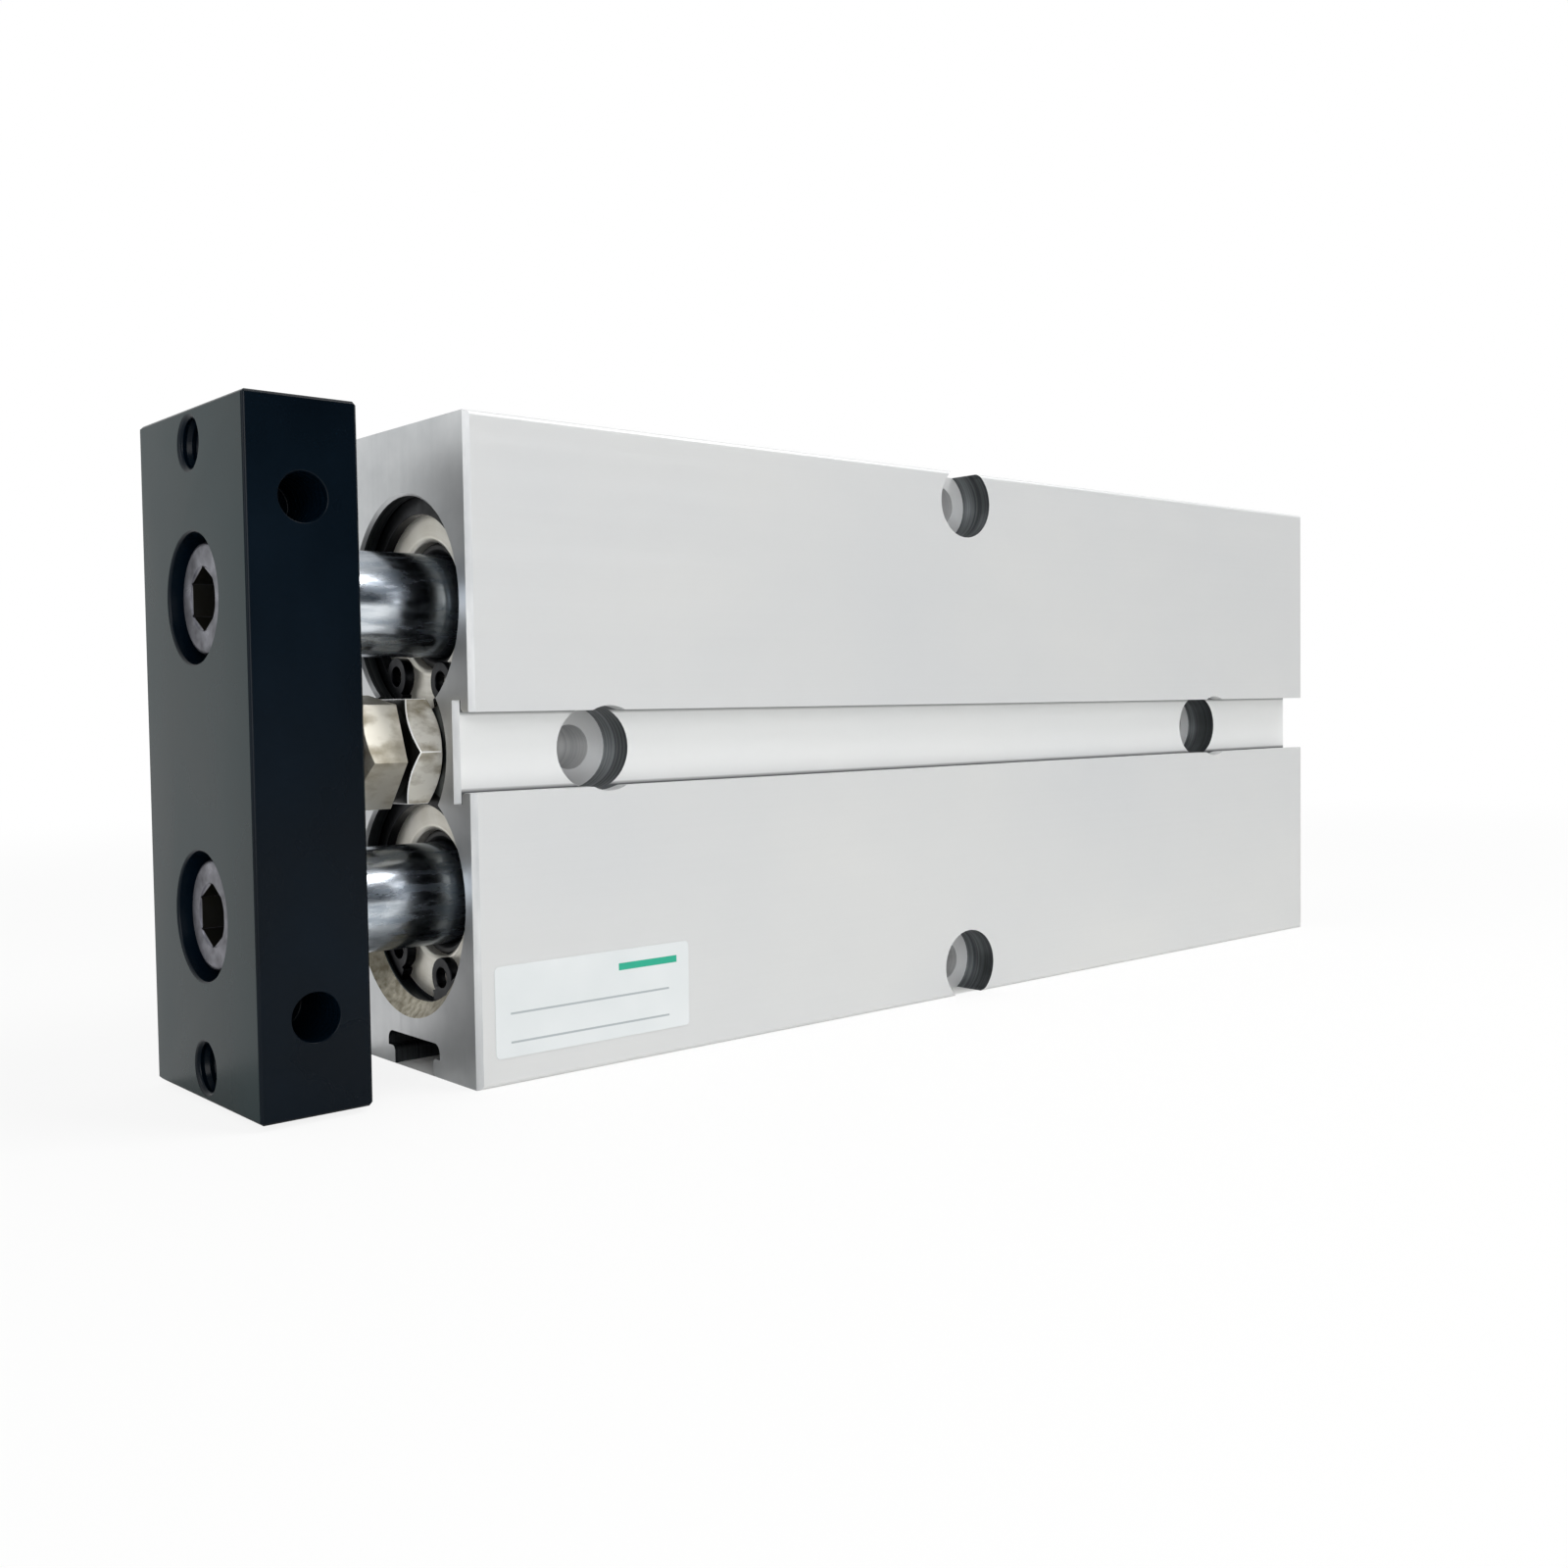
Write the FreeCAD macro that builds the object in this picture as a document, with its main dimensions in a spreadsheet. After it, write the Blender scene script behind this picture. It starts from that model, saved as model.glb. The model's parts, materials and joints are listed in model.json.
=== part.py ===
import FreeCAD, Part
import math
import os
import re

import Sketcher
from FreeCAD import Rotation, Vector

# Twin-rod guided air cylinder, drawn retracted.
#
# Row frame: +X is the way the rods extend, +Y the face that carries the label, +Z up.
# The origin is the middle of the bottom of the whole cylinder's box.
#
# Each piece is drawn about its own origin, on its own axis, and set in place by its Placement.

DRIVING_SIZES = (
    ("stroke", 80, "travel of the rods and the end plate"),
    ("bore", 20, "cylinder bore"),
    ("bore_web", 8, "body between the two bores"),
    ("end_wall", 7, "body above the upper bore and below the lower bore"),
    ("side_wall", 2.5, "body beside a bore"),
    ("long_edge_round", 0.5, "radius of the extrusion's long edges"),
    ("saw_chamfer", 0.5, "chamfer on the extrusion's cut ends"),
    ("channel_mouth", 7.4, "channel along the middle of each wide face"),
    ("channel_bed", 9.6, "width of its floor, which runs under two lips"),
    ("channel_depth", 3, ""),
    ("channel_lip", 1.9, "lip thickness"),
    ("lip_round", 0.5, "inner edge of each lip of the channels and of the sensor slot"),
    ("slot_mouth", 7.8, "sensor T-slot along the bottom"),
    ("slot_width", 10.4, "inside the lips"),
    ("slot_lip", 1.7, "lip thickness"),
    ("slot_depth", 3.2, ""),
    ("slot_corner", 0.9, "radius of the two corners above the lips"),
    ("seat_step", 0.45, "cover seats are this much larger in radius than the bore"),
    ("mouth_chamfer", 0.3, "on the rim of each cover seat"),
    ("relief_offset", 1.1, "how far the lower front mouth's relief is cut below the bore's axis"),
    ("relief_side", 0.6, "and how far that axis lies towards the far face"),
    ("relief_rim", 0.45, "that relief beyond the seat's radius"),
    ("relief_depth", 1.2, ""),
    ("front_seat", 18, "length of the front cover's seat"),
    ("rear_seat", 10, "length of the rear cover's seat"),
    ("front_nose", 6.3, "front cover beyond its seat, where the front air port opens"),
    ("rear_nose", 5, "rear cover beyond its seat, where the rear air port opens"),
    ("air_gap", 2, "between a cover's nose and the bore"),
    ("ring_inset", 1.5, "from the body's end to a retaining ring's groove"),
    ("ring_groove", 1.1, "width of that groove"),
    ("ring_groove_depth", 0.35, ""),
    ("ring_thickness", 1, "retaining ring"),
    ("ring_width", 2, "retaining ring opposite its gap"),
    ("ring_taper", 0.3, "how far the ring's inner circle is off centre"),
    ("ring_gap_angle", 19, "half of the ring's gap"),
    ("lug_angle", 32, "of each lug from the middle of the gap"),
    ("lug_inset", 2.4, "from the ring's seat in to the lug holes"),
    ("lug_radius", 1.9, ""),
    ("lug_hole", 1, "radius of a lug's plier hole"),
    ("mount_drill", 2.25, "radius of the mounting holes"),
    ("mount_head", 4.15, "radius of their counterbores"),
    ("mount_head_depth", 4.3, "below the surface that they start from"),
    ("front_mount_inset", 15, "front mounting hole from the front end"),
    ("rear_mount_inset", 23, "rear mounting hole from the rear end"),
    ("edge_mount_inset", 3.5, "middle mounting holes from the narrow faces"),
    ("port_drill", 2.1, "radius of the air ports"),
    ("port_spot", 4, "radius of the flat round an air port"),
    ("port_spot_depth", 0.3, ""),
    ("passage", 1.5, "radius of the air passages between the bores"),
    ("stop_spot", 7.8, "radius of the flat for the jam nut, which runs into both cover seats"),
    ("stop_spot_depth", 1.2, ""),
    ("stop_hole_spare", 1.8, "stop screw's hole beyond its end"),
    ("rod_radius", 5, ""),
    ("rod_chamfer", 0.5, "on the rod's front end"),
    ("spigot_radius", 3.5, "rod's end inside the piston"),
    ("bush_wall", 1, "rod bush round the rod"),
    ("gland_wall", 1.2, "pocket for the rod seal round the rod"),
    ("gland_depth", 5.6, ""),
    ("seal_setback", 0.9, "rod seal behind the front cover's face"),
    ("seal_lip", 1.4, "length of the rod seal's wiping lip"),
    ("packing_depth", 1.5, "O-ring grooves of the covers"),
    ("packing_groove", 2.4, "width of those grooves"),
    ("packing_width", 1.9, "O-ring squeezed in its groove"),
    ("front_packing_inset", 8, "O-ring groove from the front cover's face"),
    ("rear_packing_inset", 2.4, "O-ring groove from the rear cover's face"),
    ("piston_length", 16.3, ""),
    ("piston_gap", 0.2, "between piston and bore"),
    ("piston_land", 1.1, "between the piston's grooves"),
    ("piston_seal_width", 2.8, ""),
    ("piston_seal_depth", 2.4, ""),
    ("magnet_width", 3, "magnet ring of the lower piston"),
    ("magnet_depth", 2.6, ""),
    ("wear_width", 4, "wear ring"),
    ("wear_depth", 0.8, ""),
    ("piston_register", 2, "recess that the rod's shoulder sits in"),
    ("piston_cup_radius", 4.6, "recess for the piston screw's head"),
    ("piston_cup_depth", 5, ""),
    ("bumper_thickness", 2, "bumpers on the piston's faces"),
    ("bumper_gap", 1.6, "between a bumper's edge and the bore"),
    ("end_gap", 0.2, "between a bumper and the cover at each end of the stroke"),
    ("plate_gap", 10, "between the body and the retracted plate"),
    ("plate_thickness", 10, ""),
    ("plate_inset", 0.5, "plate inside the body's outline all round"),
    ("plate_edge", 0.3, "chamfer on the plate's edges"),
    ("plate_head", 5.7, "radius of the counterbores for the rod screws"),
    ("plate_head_depth", 6.9, ""),
    ("plate_clearance", 3.2, "radius of the clearance holes for the rod screws"),
    ("load_tap", 2.1, "radius of the tapped holes that a load is fixed with"),
    ("load_front_inset", 3, "tapped holes in the plate's front from its ends"),
    ("load_side_inset", 8.5, "tapped holes in the plate's sides from its ends"),
    ("load_side_depth", 8, ""),
    ("cap_thread", 3, "rod screw"),
    ("cap_length", 16, ""),
    ("cap_head", 5, ""),
    ("cap_head_height", 6, ""),
    ("cap_socket_flats", 5, ""),
    ("cap_socket_depth", 3, ""),
    ("cap_edge", 0.4, "chamfer on a cap screw's head"),
    ("tap_spare", 0.8, "threads in the rod's ends beyond the screws"),
    ("piston_thread", 2.5, "piston screw"),
    ("piston_screw_length", 12, ""),
    ("piston_screw_head", 4.25, ""),
    ("piston_screw_head_height", 4.5, ""),
    ("piston_screw_socket_flats", 4, ""),
    ("piston_screw_socket_depth", 2.5, ""),
    ("spigot_gap", 0.3, "rod's spigot short of the screw's head, so that the screw clamps"),
    ("stop_flats", 10, "across the flats of the stop screw and its nut"),
    ("stop_head_height", 3.8, ""),
    ("stop_thread", 2.99, ""),
    ("stop_length", 12, "under the stop screw's head"),
    ("stop_head_gap", 0.8, "between the stop screw's head and its nut"),
    ("stop_head_turn", -9, "degrees that the stop screw's head stands turned from level"),
    ("nut_height", 3.2, ""),
    ("hex_bevel_angle", 30, "bevel that rounds a hexagon's corners"),
    ("pad_radius", 5, "plate bumper that meets the stop screw"),
    ("pad_stem_radius", 3, ""),
    ("pad_stem_length", 2.5, ""),
    ("seat_clearance", 0.02, "round pieces that are fixed in their seats"),
    ("cover_clearance", 0.03, "covers in the body"),
    ("running_clearance", 0.04, "what slides or turns on another piece"),
)

DERIVED_SIZES = (
    ("axis_pitch", "bore + bore_web", "between the two cylinder axes"),
    ("seat", "bore / 2 + seat_step", "radius of the cover seats"),
    ("ring_seat", "seat + ring_groove_depth", "radius of a retaining ring's groove"),
    ("lug_circle", "ring_seat - lug_inset", "radius that the lug holes lie on"),
    ("nose_radius", "bore / 2 - air_gap", "noses of the covers"),
    ("bush_radius", "rod_radius + bush_wall", "outside of the rod bush"),
    ("gland_radius", "rod_radius + gland_wall", "pocket for the rod seal"),
    ("bumper_outside", "bore / 2 - bumper_gap", "bumpers' outer radius"),
    ("cover_setback", "ring_inset + ring_groove", "a cover's face behind the body's end"),
    ("front_flange", "front_seat - cover_setback", "front cover's length in its seat"),
    ("rear_flange", "rear_seat - cover_setback", "rear cover's length in its seat"),
    ("piston_stack", "piston_length + 2 * bumper_thickness + 2 * end_gap", ""),
    ("chamber", "stroke + piston_stack", "between the noses of the two covers"),
    ("body_length", "chamber + front_seat + front_nose + rear_seat + rear_nose", ""),
    ("body_height", "axis_pitch + bore + 2 * end_wall", ""),
    ("body_depth", "bore + 2 * side_wall", ""),
    ("channel_floor", "body_depth / 2 - channel_depth", "from the middle plane"),
    ("lip_inside", "body_depth / 2 - channel_lip", "from the middle plane"),
    ("front_port", "front_seat + front_nose / 2", "from the front end"),
    ("rear_port", "rear_seat + rear_nose / 2", "from the rear end"),
    ("front_mount", "front_mount_inset", "from the front end"),
    ("rear_mount", "body_length - rear_mount_inset", "from the front end"),
    ("middle_mount", "(front_mount + rear_mount) / 2", "from the front end"),
    ("edge_mount", "body_height / 2 - edge_mount_inset", "from the middle of the height"),
    ("plate_height", "body_height - 2 * plate_inset", ""),
    ("plate_depth", "body_depth - 2 * plate_inset", ""),
    ("overall_length", "body_length + plate_gap + plate_thickness", ""),
    ("rear_end", "-overall_length / 2", "X of the body's rear end"),
    ("front_end", "rear_end + body_length", "X of the body's front end"),
    ("plate_back", "front_end + plate_gap", "X of the plate's back"),
    ("plate_web", "plate_thickness - plate_head_depth", "plate left under a rod screw's head"),
    ("front_cover_face", "front_end - cover_setback", ""),
    ("rear_cover_face", "rear_end + cover_setback", ""),
    ("piston_rear", "rear_end + rear_seat + rear_nose + end_gap + bumper_thickness", ""),
    ("piston_front", "piston_rear + piston_length", ""),
    ("rod_length", "plate_back - piston_front + piston_register", "up to its shoulder"),
    ("spigot_length", "piston_length - piston_register - piston_cup_depth - spigot_gap", ""),
    ("rod_tap_depth", "cap_length - plate_web + tap_spare", "thread in the rod's front end"),
    ("piston_tap_depth", "piston_screw_length - spigot_gap + tap_spare", "in its rear end"),
    ("load_front_pitch", "plate_height - 2 * load_front_inset", ""),
    ("load_side_pitch", "plate_height - 2 * load_side_inset", ""),
    ("middle_z", "body_height / 2", ""),
    ("upper_z", "middle_z + axis_pitch / 2", ""),
    ("lower_z", "middle_z - axis_pitch / 2", ""),
    ("nut_seat", "front_end - stop_spot_depth", ""),
    ("stop_head_seat", "nut_seat + nut_height + stop_head_gap", ""),
    ("pad_height", "plate_back - stop_head_seat - stop_head_height - end_gap", ""),
    ("stop_hole_depth", "front_end - stop_head_seat + stop_length + stop_hole_spare", ""),
    ("wear_start", "(piston_length - wear_width) / 2 + piston_land", "on the piston"),
    ("seal_start", "wear_start + wear_width + piston_land", "on the piston"),
    ("magnet_start", "wear_start - piston_land - magnet_width", "on the piston"),
)

SHEET_OF = {}
for name, number, note in DRIVING_SIZES:
    SHEET_OF[name] = "Sizes"
for name, formula, note in DERIVED_SIZES:
    SHEET_OF[name] = "Places"

doc = FreeCAD.newDocument("TwinRodCylinder")
parts = {}


def bound(formula):
    """The formula with each named size written as the sheet cell that holds it."""

    def cell(match):
        word = match.group()
        return f"{SHEET_OF[word]}.{word}" if word in SHEET_OF else word

    return re.sub(r"[a-z_]+", cell, formula)


def fill_sheets():
    """Write the driving sizes as plain numbers, and what follows from them as formulas."""
    sizes = doc.addObject("Spreadsheet::Sheet", "Sizes")
    for row, (name, number, note) in enumerate(DRIVING_SIZES, start=1):
        sizes.set(f"A{row}", str(number))
        sizes.setAlias(f"A{row}", name)
        sizes.set(f"B{row}", note)
    doc.recompute()
    places = doc.addObject("Spreadsheet::Sheet", "Places")
    for row, (name, formula, note) in enumerate(DERIVED_SIZES, start=1):
        places.set(f"A{row}", "=" + bound(formula).replace("Places.", ""))
        places.setAlias(f"A{row}", name)
        places.set(f"B{row}", note)
    doc.recompute()


def new_piece(label, x="0", y="0", z="0"):
    """A body for one piece, whose origin stands at the given place in the row frame."""
    piece = doc.addObject("PartDesign::Body", label)
    piece.Label = label
    for axis, place in (("x", x), ("y", y), ("z", z)):
        piece.setExpression(f"Placement.Base.{axis}", bound(place))
    parts[label] = piece
    return piece


def new_sketch(piece, name, plane, shift_x="0", shift_y="0", height="0"):
    """A sketch on one of the piece's origin planes, moved in the plane and off it."""
    sketch = piece.newObject("Sketcher::SketchObject", f"{piece.Label}_{name}")
    origin_plane = [item for item in piece.Origin.OriginFeatures if item.Role == plane][0]
    sketch.AttachmentSupport = [(origin_plane, "")]
    sketch.MapMode = "FlatFace"
    for axis, formula in (("x", shift_x), ("y", shift_y), ("z", height)):
        if formula != "0":
            sketch.setExpression(f"AttachmentOffset.Base.{axis}", bound(formula))
    return sketch


def drive(sketch, constraint, name, formula):
    """Add a dimension to the sketch, named and bound to its formula."""
    index = sketch.addConstraint(constraint)
    sketch.renameConstraint(index, name)
    sketch.setExpression(f"Constraints.{name}", bound(formula))


def draw_outline(sketch, corners):
    """A closed outline of straight lines, with each corner placed from the sketch's origin.

    The corners start spread round a unit circle, and their dimensions carry them home.
    """
    count = len(corners)
    start = [
        Vector(math.cos(2 * math.pi * i / count), math.sin(2 * math.pi * i / count), 0)
        for i in range(count)
    ]
    for i in range(count):
        sketch.addGeometry(Part.LineSegment(start[i], start[(i + 1) % count]))
    for i in range(count):
        sketch.addConstraint(Sketcher.Constraint("Coincident", i, 2, (i + 1) % count, 1))
    for i, (across, up) in enumerate(corners):
        drive(sketch, Sketcher.Constraint("DistanceX", -1, 1, i, 1, 1.0), f"across_{i}", across)
        drive(sketch, Sketcher.Constraint("DistanceY", -1, 1, i, 1, 1.0), f"up_{i}", up)


def draw_circles(sketch, circles):
    """Circles given as (across, up, radius)."""
    for i, (across, up, radius) in enumerate(circles):
        index = sketch.addGeometry(Part.Circle(Vector(i, 0, 0), Vector(0, 0, 1), 1))
        drive(sketch, Sketcher.Constraint("DistanceX", -1, 1, index, 3, 1.0), f"across_{i}", across)
        drive(sketch, Sketcher.Constraint("DistanceY", -1, 1, index, 3, 1.0), f"up_{i}", up)
        drive(sketch, Sketcher.Constraint("Radius", index, 1.0), f"radius_{i}", radius)


def draw_hexagon(sketch, flats):
    """A hexagon about the sketch's origin with two corners level and two flats up and down."""
    corner = f"{flats} / sqrt(3)"
    side_x = f"{flats} / sqrt(3) / 2"
    draw_outline(sketch, (
        (corner, "0"), (side_x, f"{flats} / 2"), (f"-{side_x}", f"{flats} / 2"),
        (f"-{corner}", "0"), (f"-{side_x}", f"-{flats} / 2"), (side_x, f"-{flats} / 2"),
    ))


def add_pad(piece, name, sketch, length, reverse=False):
    pad = piece.newObject("PartDesign::Pad", f"{piece.Label}_{name}")
    pad.Profile = sketch
    pad.setExpression("Length", bound(length))
    pad.Reversed = reverse
    return pad


def add_pocket(piece, name, sketch, depth=None, reverse=False, both_ways=False):
    """A pocket of the given depth, or right through when no depth is given."""
    pocket = piece.newObject("PartDesign::Pocket", f"{piece.Label}_{name}")
    pocket.Profile = sketch
    if depth is None:
        pocket.Type = "ThroughAll"
    else:
        pocket.setExpression("Length", bound(depth))
    pocket.Midplane = both_ways
    pocket.Reversed = reverse
    return pocket


def add_hole(piece, name, sketch, radius, depth=None, head=None, reverse=False):
    """A drilled hole: blind with a flat end, or right through; head is (radius, depth)."""
    hole = piece.newObject("PartDesign::Hole", f"{piece.Label}_{name}")
    hole.Profile = sketch
    doc.recompute()
    hole.ThreadType = 0
    hole.Reversed = reverse
    hole.setExpression("Diameter", bound(f"2 * {radius}"))
    if depth is None:
        hole.DepthType = "ThroughAll"
    else:
        hole.DepthType = "Dimension"
        hole.setExpression("Depth", bound(depth))
        hole.DrillPoint = "Flat"
    if head is not None:
        hole.HoleCutType = "Counterbore"
        hole.setExpression("HoleCutDiameter", bound(f"2 * {head[0]}"))
        hole.setExpression("HoleCutDepth", bound(head[1]))
    return hole


def add_mirror(piece, name, features, plane):
    """The features again on the other side of one of the piece's origin planes."""
    mirror = piece.newObject("PartDesign::Mirrored", f"{piece.Label}_{name}")
    mirror.Originals = features
    mirror.MirrorPlane = (
        [item for item in piece.Origin.OriginFeatures if item.Role == plane][0], [""])
    piece.Tip = mirror


def dress(piece, kind, name, property_name, formula, test):
    """A chamfer or fillet on the piece's edges whose two ends pass the test."""
    doc.recompute()
    base = piece.Tip
    chosen = [
        f"Edge{i}" for i, edge in enumerate(base.Shape.Edges, start=1)
        if len(edge.Vertexes) == 2 and test(edge.Vertexes[0].Point, edge.Vertexes[1].Point)
    ]
    feature = piece.newObject(kind, f"{piece.Label}_{name}")
    feature.Base = (base, chosen)
    feature.setExpression(property_name, bound(formula))


def turned(label, profile, x="0", z="0"):
    """A piece turned about the X axis through its origin, from half of its lengthwise section."""
    piece = new_piece(label, x=x, z=z)
    sketch = new_sketch(piece, "section", "XZ_Plane")
    draw_outline(sketch, profile)
    turning = piece.newObject("PartDesign::Revolution", f"{label}_turning")
    turning.Profile = sketch
    turning.ReferenceAxis = (sketch, ["H_Axis"])
    turning.Angle = 360
    return piece


def ring_profile(start, length, inside, outside):
    """The section of a plain ring that starts at start along the axis."""
    far = f"{start} + {length}"
    return ((start, inside), (start, outside), (far, outside), (far, inside))


def size(name):
    """The present value of a named size."""
    return float(getattr(doc.getObject(SHEET_OF[name]), name))


# The body: an extrusion with the two stepped bores and everything that is drilled into it.
# Its origin is the middle of its front end, so it runs to -X.

def make_body():
    body = new_piece("body", x="front_end", z="middle_z")
    half_depth = "body_depth / 2"
    half_height = "body_height / 2"

    outline = new_sketch(body, "outline", "YZ_Plane")
    lip_top = f"slot_lip - {half_height}"
    slot_top = f"slot_depth - {half_height}"
    right_side = (
        ("slot_mouth / 2", f"-{half_height}"), (half_depth, f"-{half_height}"),
        (half_depth, "-channel_mouth / 2"), ("lip_inside", "-channel_mouth / 2"),
        ("lip_inside", "-channel_bed / 2"), ("channel_floor", "-channel_bed / 2"),
        ("channel_floor", "channel_bed / 2"), ("lip_inside", "channel_bed / 2"),
        ("lip_inside", "channel_mouth / 2"), (half_depth, "channel_mouth / 2"),
        (half_depth, half_height),
    )
    slot_side = (
        ("slot_width / 2", slot_top), ("slot_width / 2", lip_top), ("slot_mouth / 2", lip_top),
    )
    half_outline = slot_side + right_side
    other_half = tuple((f"-({across})", up) for across, up in reversed(half_outline))
    draw_outline(outline, half_outline + other_half)
    add_pad(body, "extrusion", outline, "body_length", reverse=True)

    half_y = size("body_depth") / 2
    half_z = size("body_height") / 2
    lip_top_z = size("slot_lip") - half_z
    slot_top_z = size("slot_depth") - half_z

    def is_long_edge(places):
        """A test for edges along X that stand at one of the given (across, up) places."""

        def test(start, end):
            along_x = abs(start.y - end.y) < 1e-6 and abs(start.z - end.z) < 1e-6
            return along_x and any(
                abs(abs(start.y) - across) < 1e-6 and abs(start.z - up) < 1e-6
                for across, up in places)

        return test

    def is_sawn_edge(start, end):
        along_z = abs(start.x - end.x) < 1e-6 and abs(start.y - end.y) < 1e-6
        faces = (half_y, size("channel_floor"))
        return along_z and any(abs(abs(start.y) - face) < 1e-6 for face in faces)

    outer_corners = is_long_edge(((half_y, half_z), (half_y, -half_z)))
    slot_corners = is_long_edge(((size("slot_width") / 2, slot_top_z),))
    half_mouth = size("channel_mouth") / 2
    lip_edges = is_long_edge((
        (size("slot_mouth") / 2, lip_top_z), (size("lip_inside"), half_mouth),
        (size("lip_inside"), -half_mouth)))
    dress(body, "PartDesign::Chamfer", "sawn_edges", "Size", "saw_chamfer", is_sawn_edge)
    dress(body, "PartDesign::Fillet", "long_edges", "Radius", "long_edge_round", outer_corners)
    dress(body, "PartDesign::Fillet", "slot_corners", "Radius", "slot_corner", slot_corners)
    dress(body, "PartDesign::Fillet", "lip_edges", "Radius", "lip_round", lip_edges)

    bore_section = new_sketch(body, "bore_section", "XZ_Plane", shift_y="axis_pitch / 2")
    rear = "-body_length"
    draw_outline(bore_section, (
        ("0", "0"), ("0", "seat + mouth_chamfer"), ("-mouth_chamfer", "seat"),
        ("-ring_inset", "seat"), ("-ring_inset", "ring_seat"),
        ("-cover_setback", "ring_seat"), ("-cover_setback", "seat"),
        ("-front_seat", "seat"), ("-front_seat", "bore / 2"),
        (f"{rear} + rear_seat", "bore / 2"), (f"{rear} + rear_seat", "seat"),
        (f"{rear} + cover_setback", "seat"), (f"{rear} + cover_setback", "ring_seat"),
        (f"{rear} + ring_inset", "ring_seat"), (f"{rear} + ring_inset", "seat"),
        (f"{rear} + mouth_chamfer", "seat"), (rear, "seat + mouth_chamfer"), (rear, "0"),
    ))
    upper_bore = body.newObject("PartDesign::Groove", "body_upper_bore")
    upper_bore.Profile = bore_section
    upper_bore.ReferenceAxis = (bore_section, ["H_Axis"])
    upper_bore.Angle = 360
    add_mirror(body, "lower_bore", [upper_bore], "XY_Plane")

    # The lower front mouth has a shallow cone cut off centre, which shows as a crescent.
    relief_axis = "-axis_pitch / 2 - relief_offset"
    relief_section = new_sketch(
        body, "relief_section", "XZ_Plane", shift_y=relief_axis, height="relief_side")
    draw_outline(relief_section, (
        ("0", "0"), ("0", "seat + relief_rim"),
        ("-relief_depth", "seat - relief_offset"), ("-relief_depth", "0"),
    ))
    relief = body.newObject("PartDesign::Groove", "body_mouth_relief")
    relief.Profile = relief_section
    relief.ReferenceAxis = (relief_section, ["H_Axis"])
    relief.Angle = 360

    # Mounting holes, drilled from the labelled face and counterbored from both wide faces.
    wide_face = f"-{half_depth}"
    channel_points = new_sketch(body, "channel_mounts", "XZ_Plane", height=wide_face)
    draw_circles(channel_points, (
        ("-front_mount", "0", "mount_drill"), ("-rear_mount", "0", "mount_drill")))
    channel_holes = add_hole(
        body, "channel_holes", channel_points, "mount_drill", depth=half_depth,
        head=("mount_head", "channel_depth + mount_head_depth"), reverse=True)
    edge_points = new_sketch(body, "edge_mounts", "XZ_Plane", height=wide_face)
    draw_circles(edge_points, (
        ("-middle_mount", "edge_mount", "mount_drill"),
        ("-middle_mount", "-edge_mount", "mount_drill")))
    edge_holes = add_hole(
        body, "edge_holes", edge_points, "mount_drill", depth=half_depth,
        head=("mount_head", "mount_head_depth"), reverse=True)
    add_mirror(body, "far_side_holes", [channel_holes, edge_holes], "XZ_Plane")

    # Air ports in the top: each opens into the upper bore, and a passage joins the lower one.
    port_places = (("-front_port", "0"), (f"{rear} + rear_port", "0"))
    ports = new_sketch(body, "ports", "XY_Plane", height=half_height)
    draw_circles(ports, [(x, y, "port_drill") for x, y in port_places])
    add_hole(body, "port_holes", ports, "port_drill", depth=f"{half_height} - axis_pitch / 2",
             head=("port_spot", "port_spot_depth"))
    passages = new_sketch(body, "passages", "XY_Plane")
    draw_circles(passages, [(x, y, "passage") for x, y in port_places])
    add_pocket(body, "passage_holes", passages, "axis_pitch", both_ways=True)

    # The stop screw's hole, with a round flat for its jam nut.
    stop_point = new_sketch(body, "stop_point", "YZ_Plane")
    draw_circles(stop_point, (("0", "0", "stop_thread"),))
    add_hole(body, "stop_hole", stop_point, "(stop_thread + running_clearance)",
             depth="stop_hole_depth", head=("stop_spot", "stop_spot_depth"))
    return body


# The covers and what they hold. A cover's origin is the middle of its outer face.

def make_front_covers():
    outside = "seat - cover_clearance"
    groove_end = "-front_packing_inset - packing_groove"
    groove_floor = "seat - packing_depth"
    nose_end = "-front_flange - front_nose"
    for row, axis_z in (("upper", "upper_z"), ("lower", "lower_z")):
        turned(f"front_cover_{row}", (
            ("0", "gland_radius"), ("0", outside),
            ("-front_packing_inset", outside), ("-front_packing_inset", groove_floor),
            (groove_end, groove_floor), (groove_end, outside),
            ("-front_flange", outside), ("-front_flange", "nose_radius"),
            (nose_end, "nose_radius"), (nose_end, "bush_radius"),
            ("-gland_depth", "bush_radius"), ("-gland_depth", "gland_radius"),
        ), x="front_cover_face", z=axis_z)
        turned(f"rod_bush_{row}", ring_profile(
            nose_end, "front_flange + front_nose - gland_depth",
            "rod_radius + running_clearance", "bush_radius - seat_clearance",
        ), x="front_cover_face", z=axis_z)
        lip = "rod_radius + running_clearance"
        turned(f"rod_seal_{row}", (
            ("-seal_setback", f"{lip} + seal_lip / 3"),
            ("-seal_setback", "gland_radius - seat_clearance"),
            ("-gland_depth + seat_clearance", "gland_radius - seat_clearance"),
            ("-gland_depth + seat_clearance", lip), ("-seal_setback - seal_lip", lip),
        ), x="front_cover_face", z=axis_z)
        make_packing(f"front_o_ring_{row}", "-front_packing_inset - packing_groove / 2",
                     "front_cover_face", axis_z)


def make_packing(label, middle, x, z):
    """An O-ring squeezed flat between its groove's floor and the seat."""
    turned(label, ring_profile(
        f"{middle} - packing_width / 2", "packing_width",
        "seat - packing_depth + seat_clearance", "seat - seat_clearance"), x=x, z=z)


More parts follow.
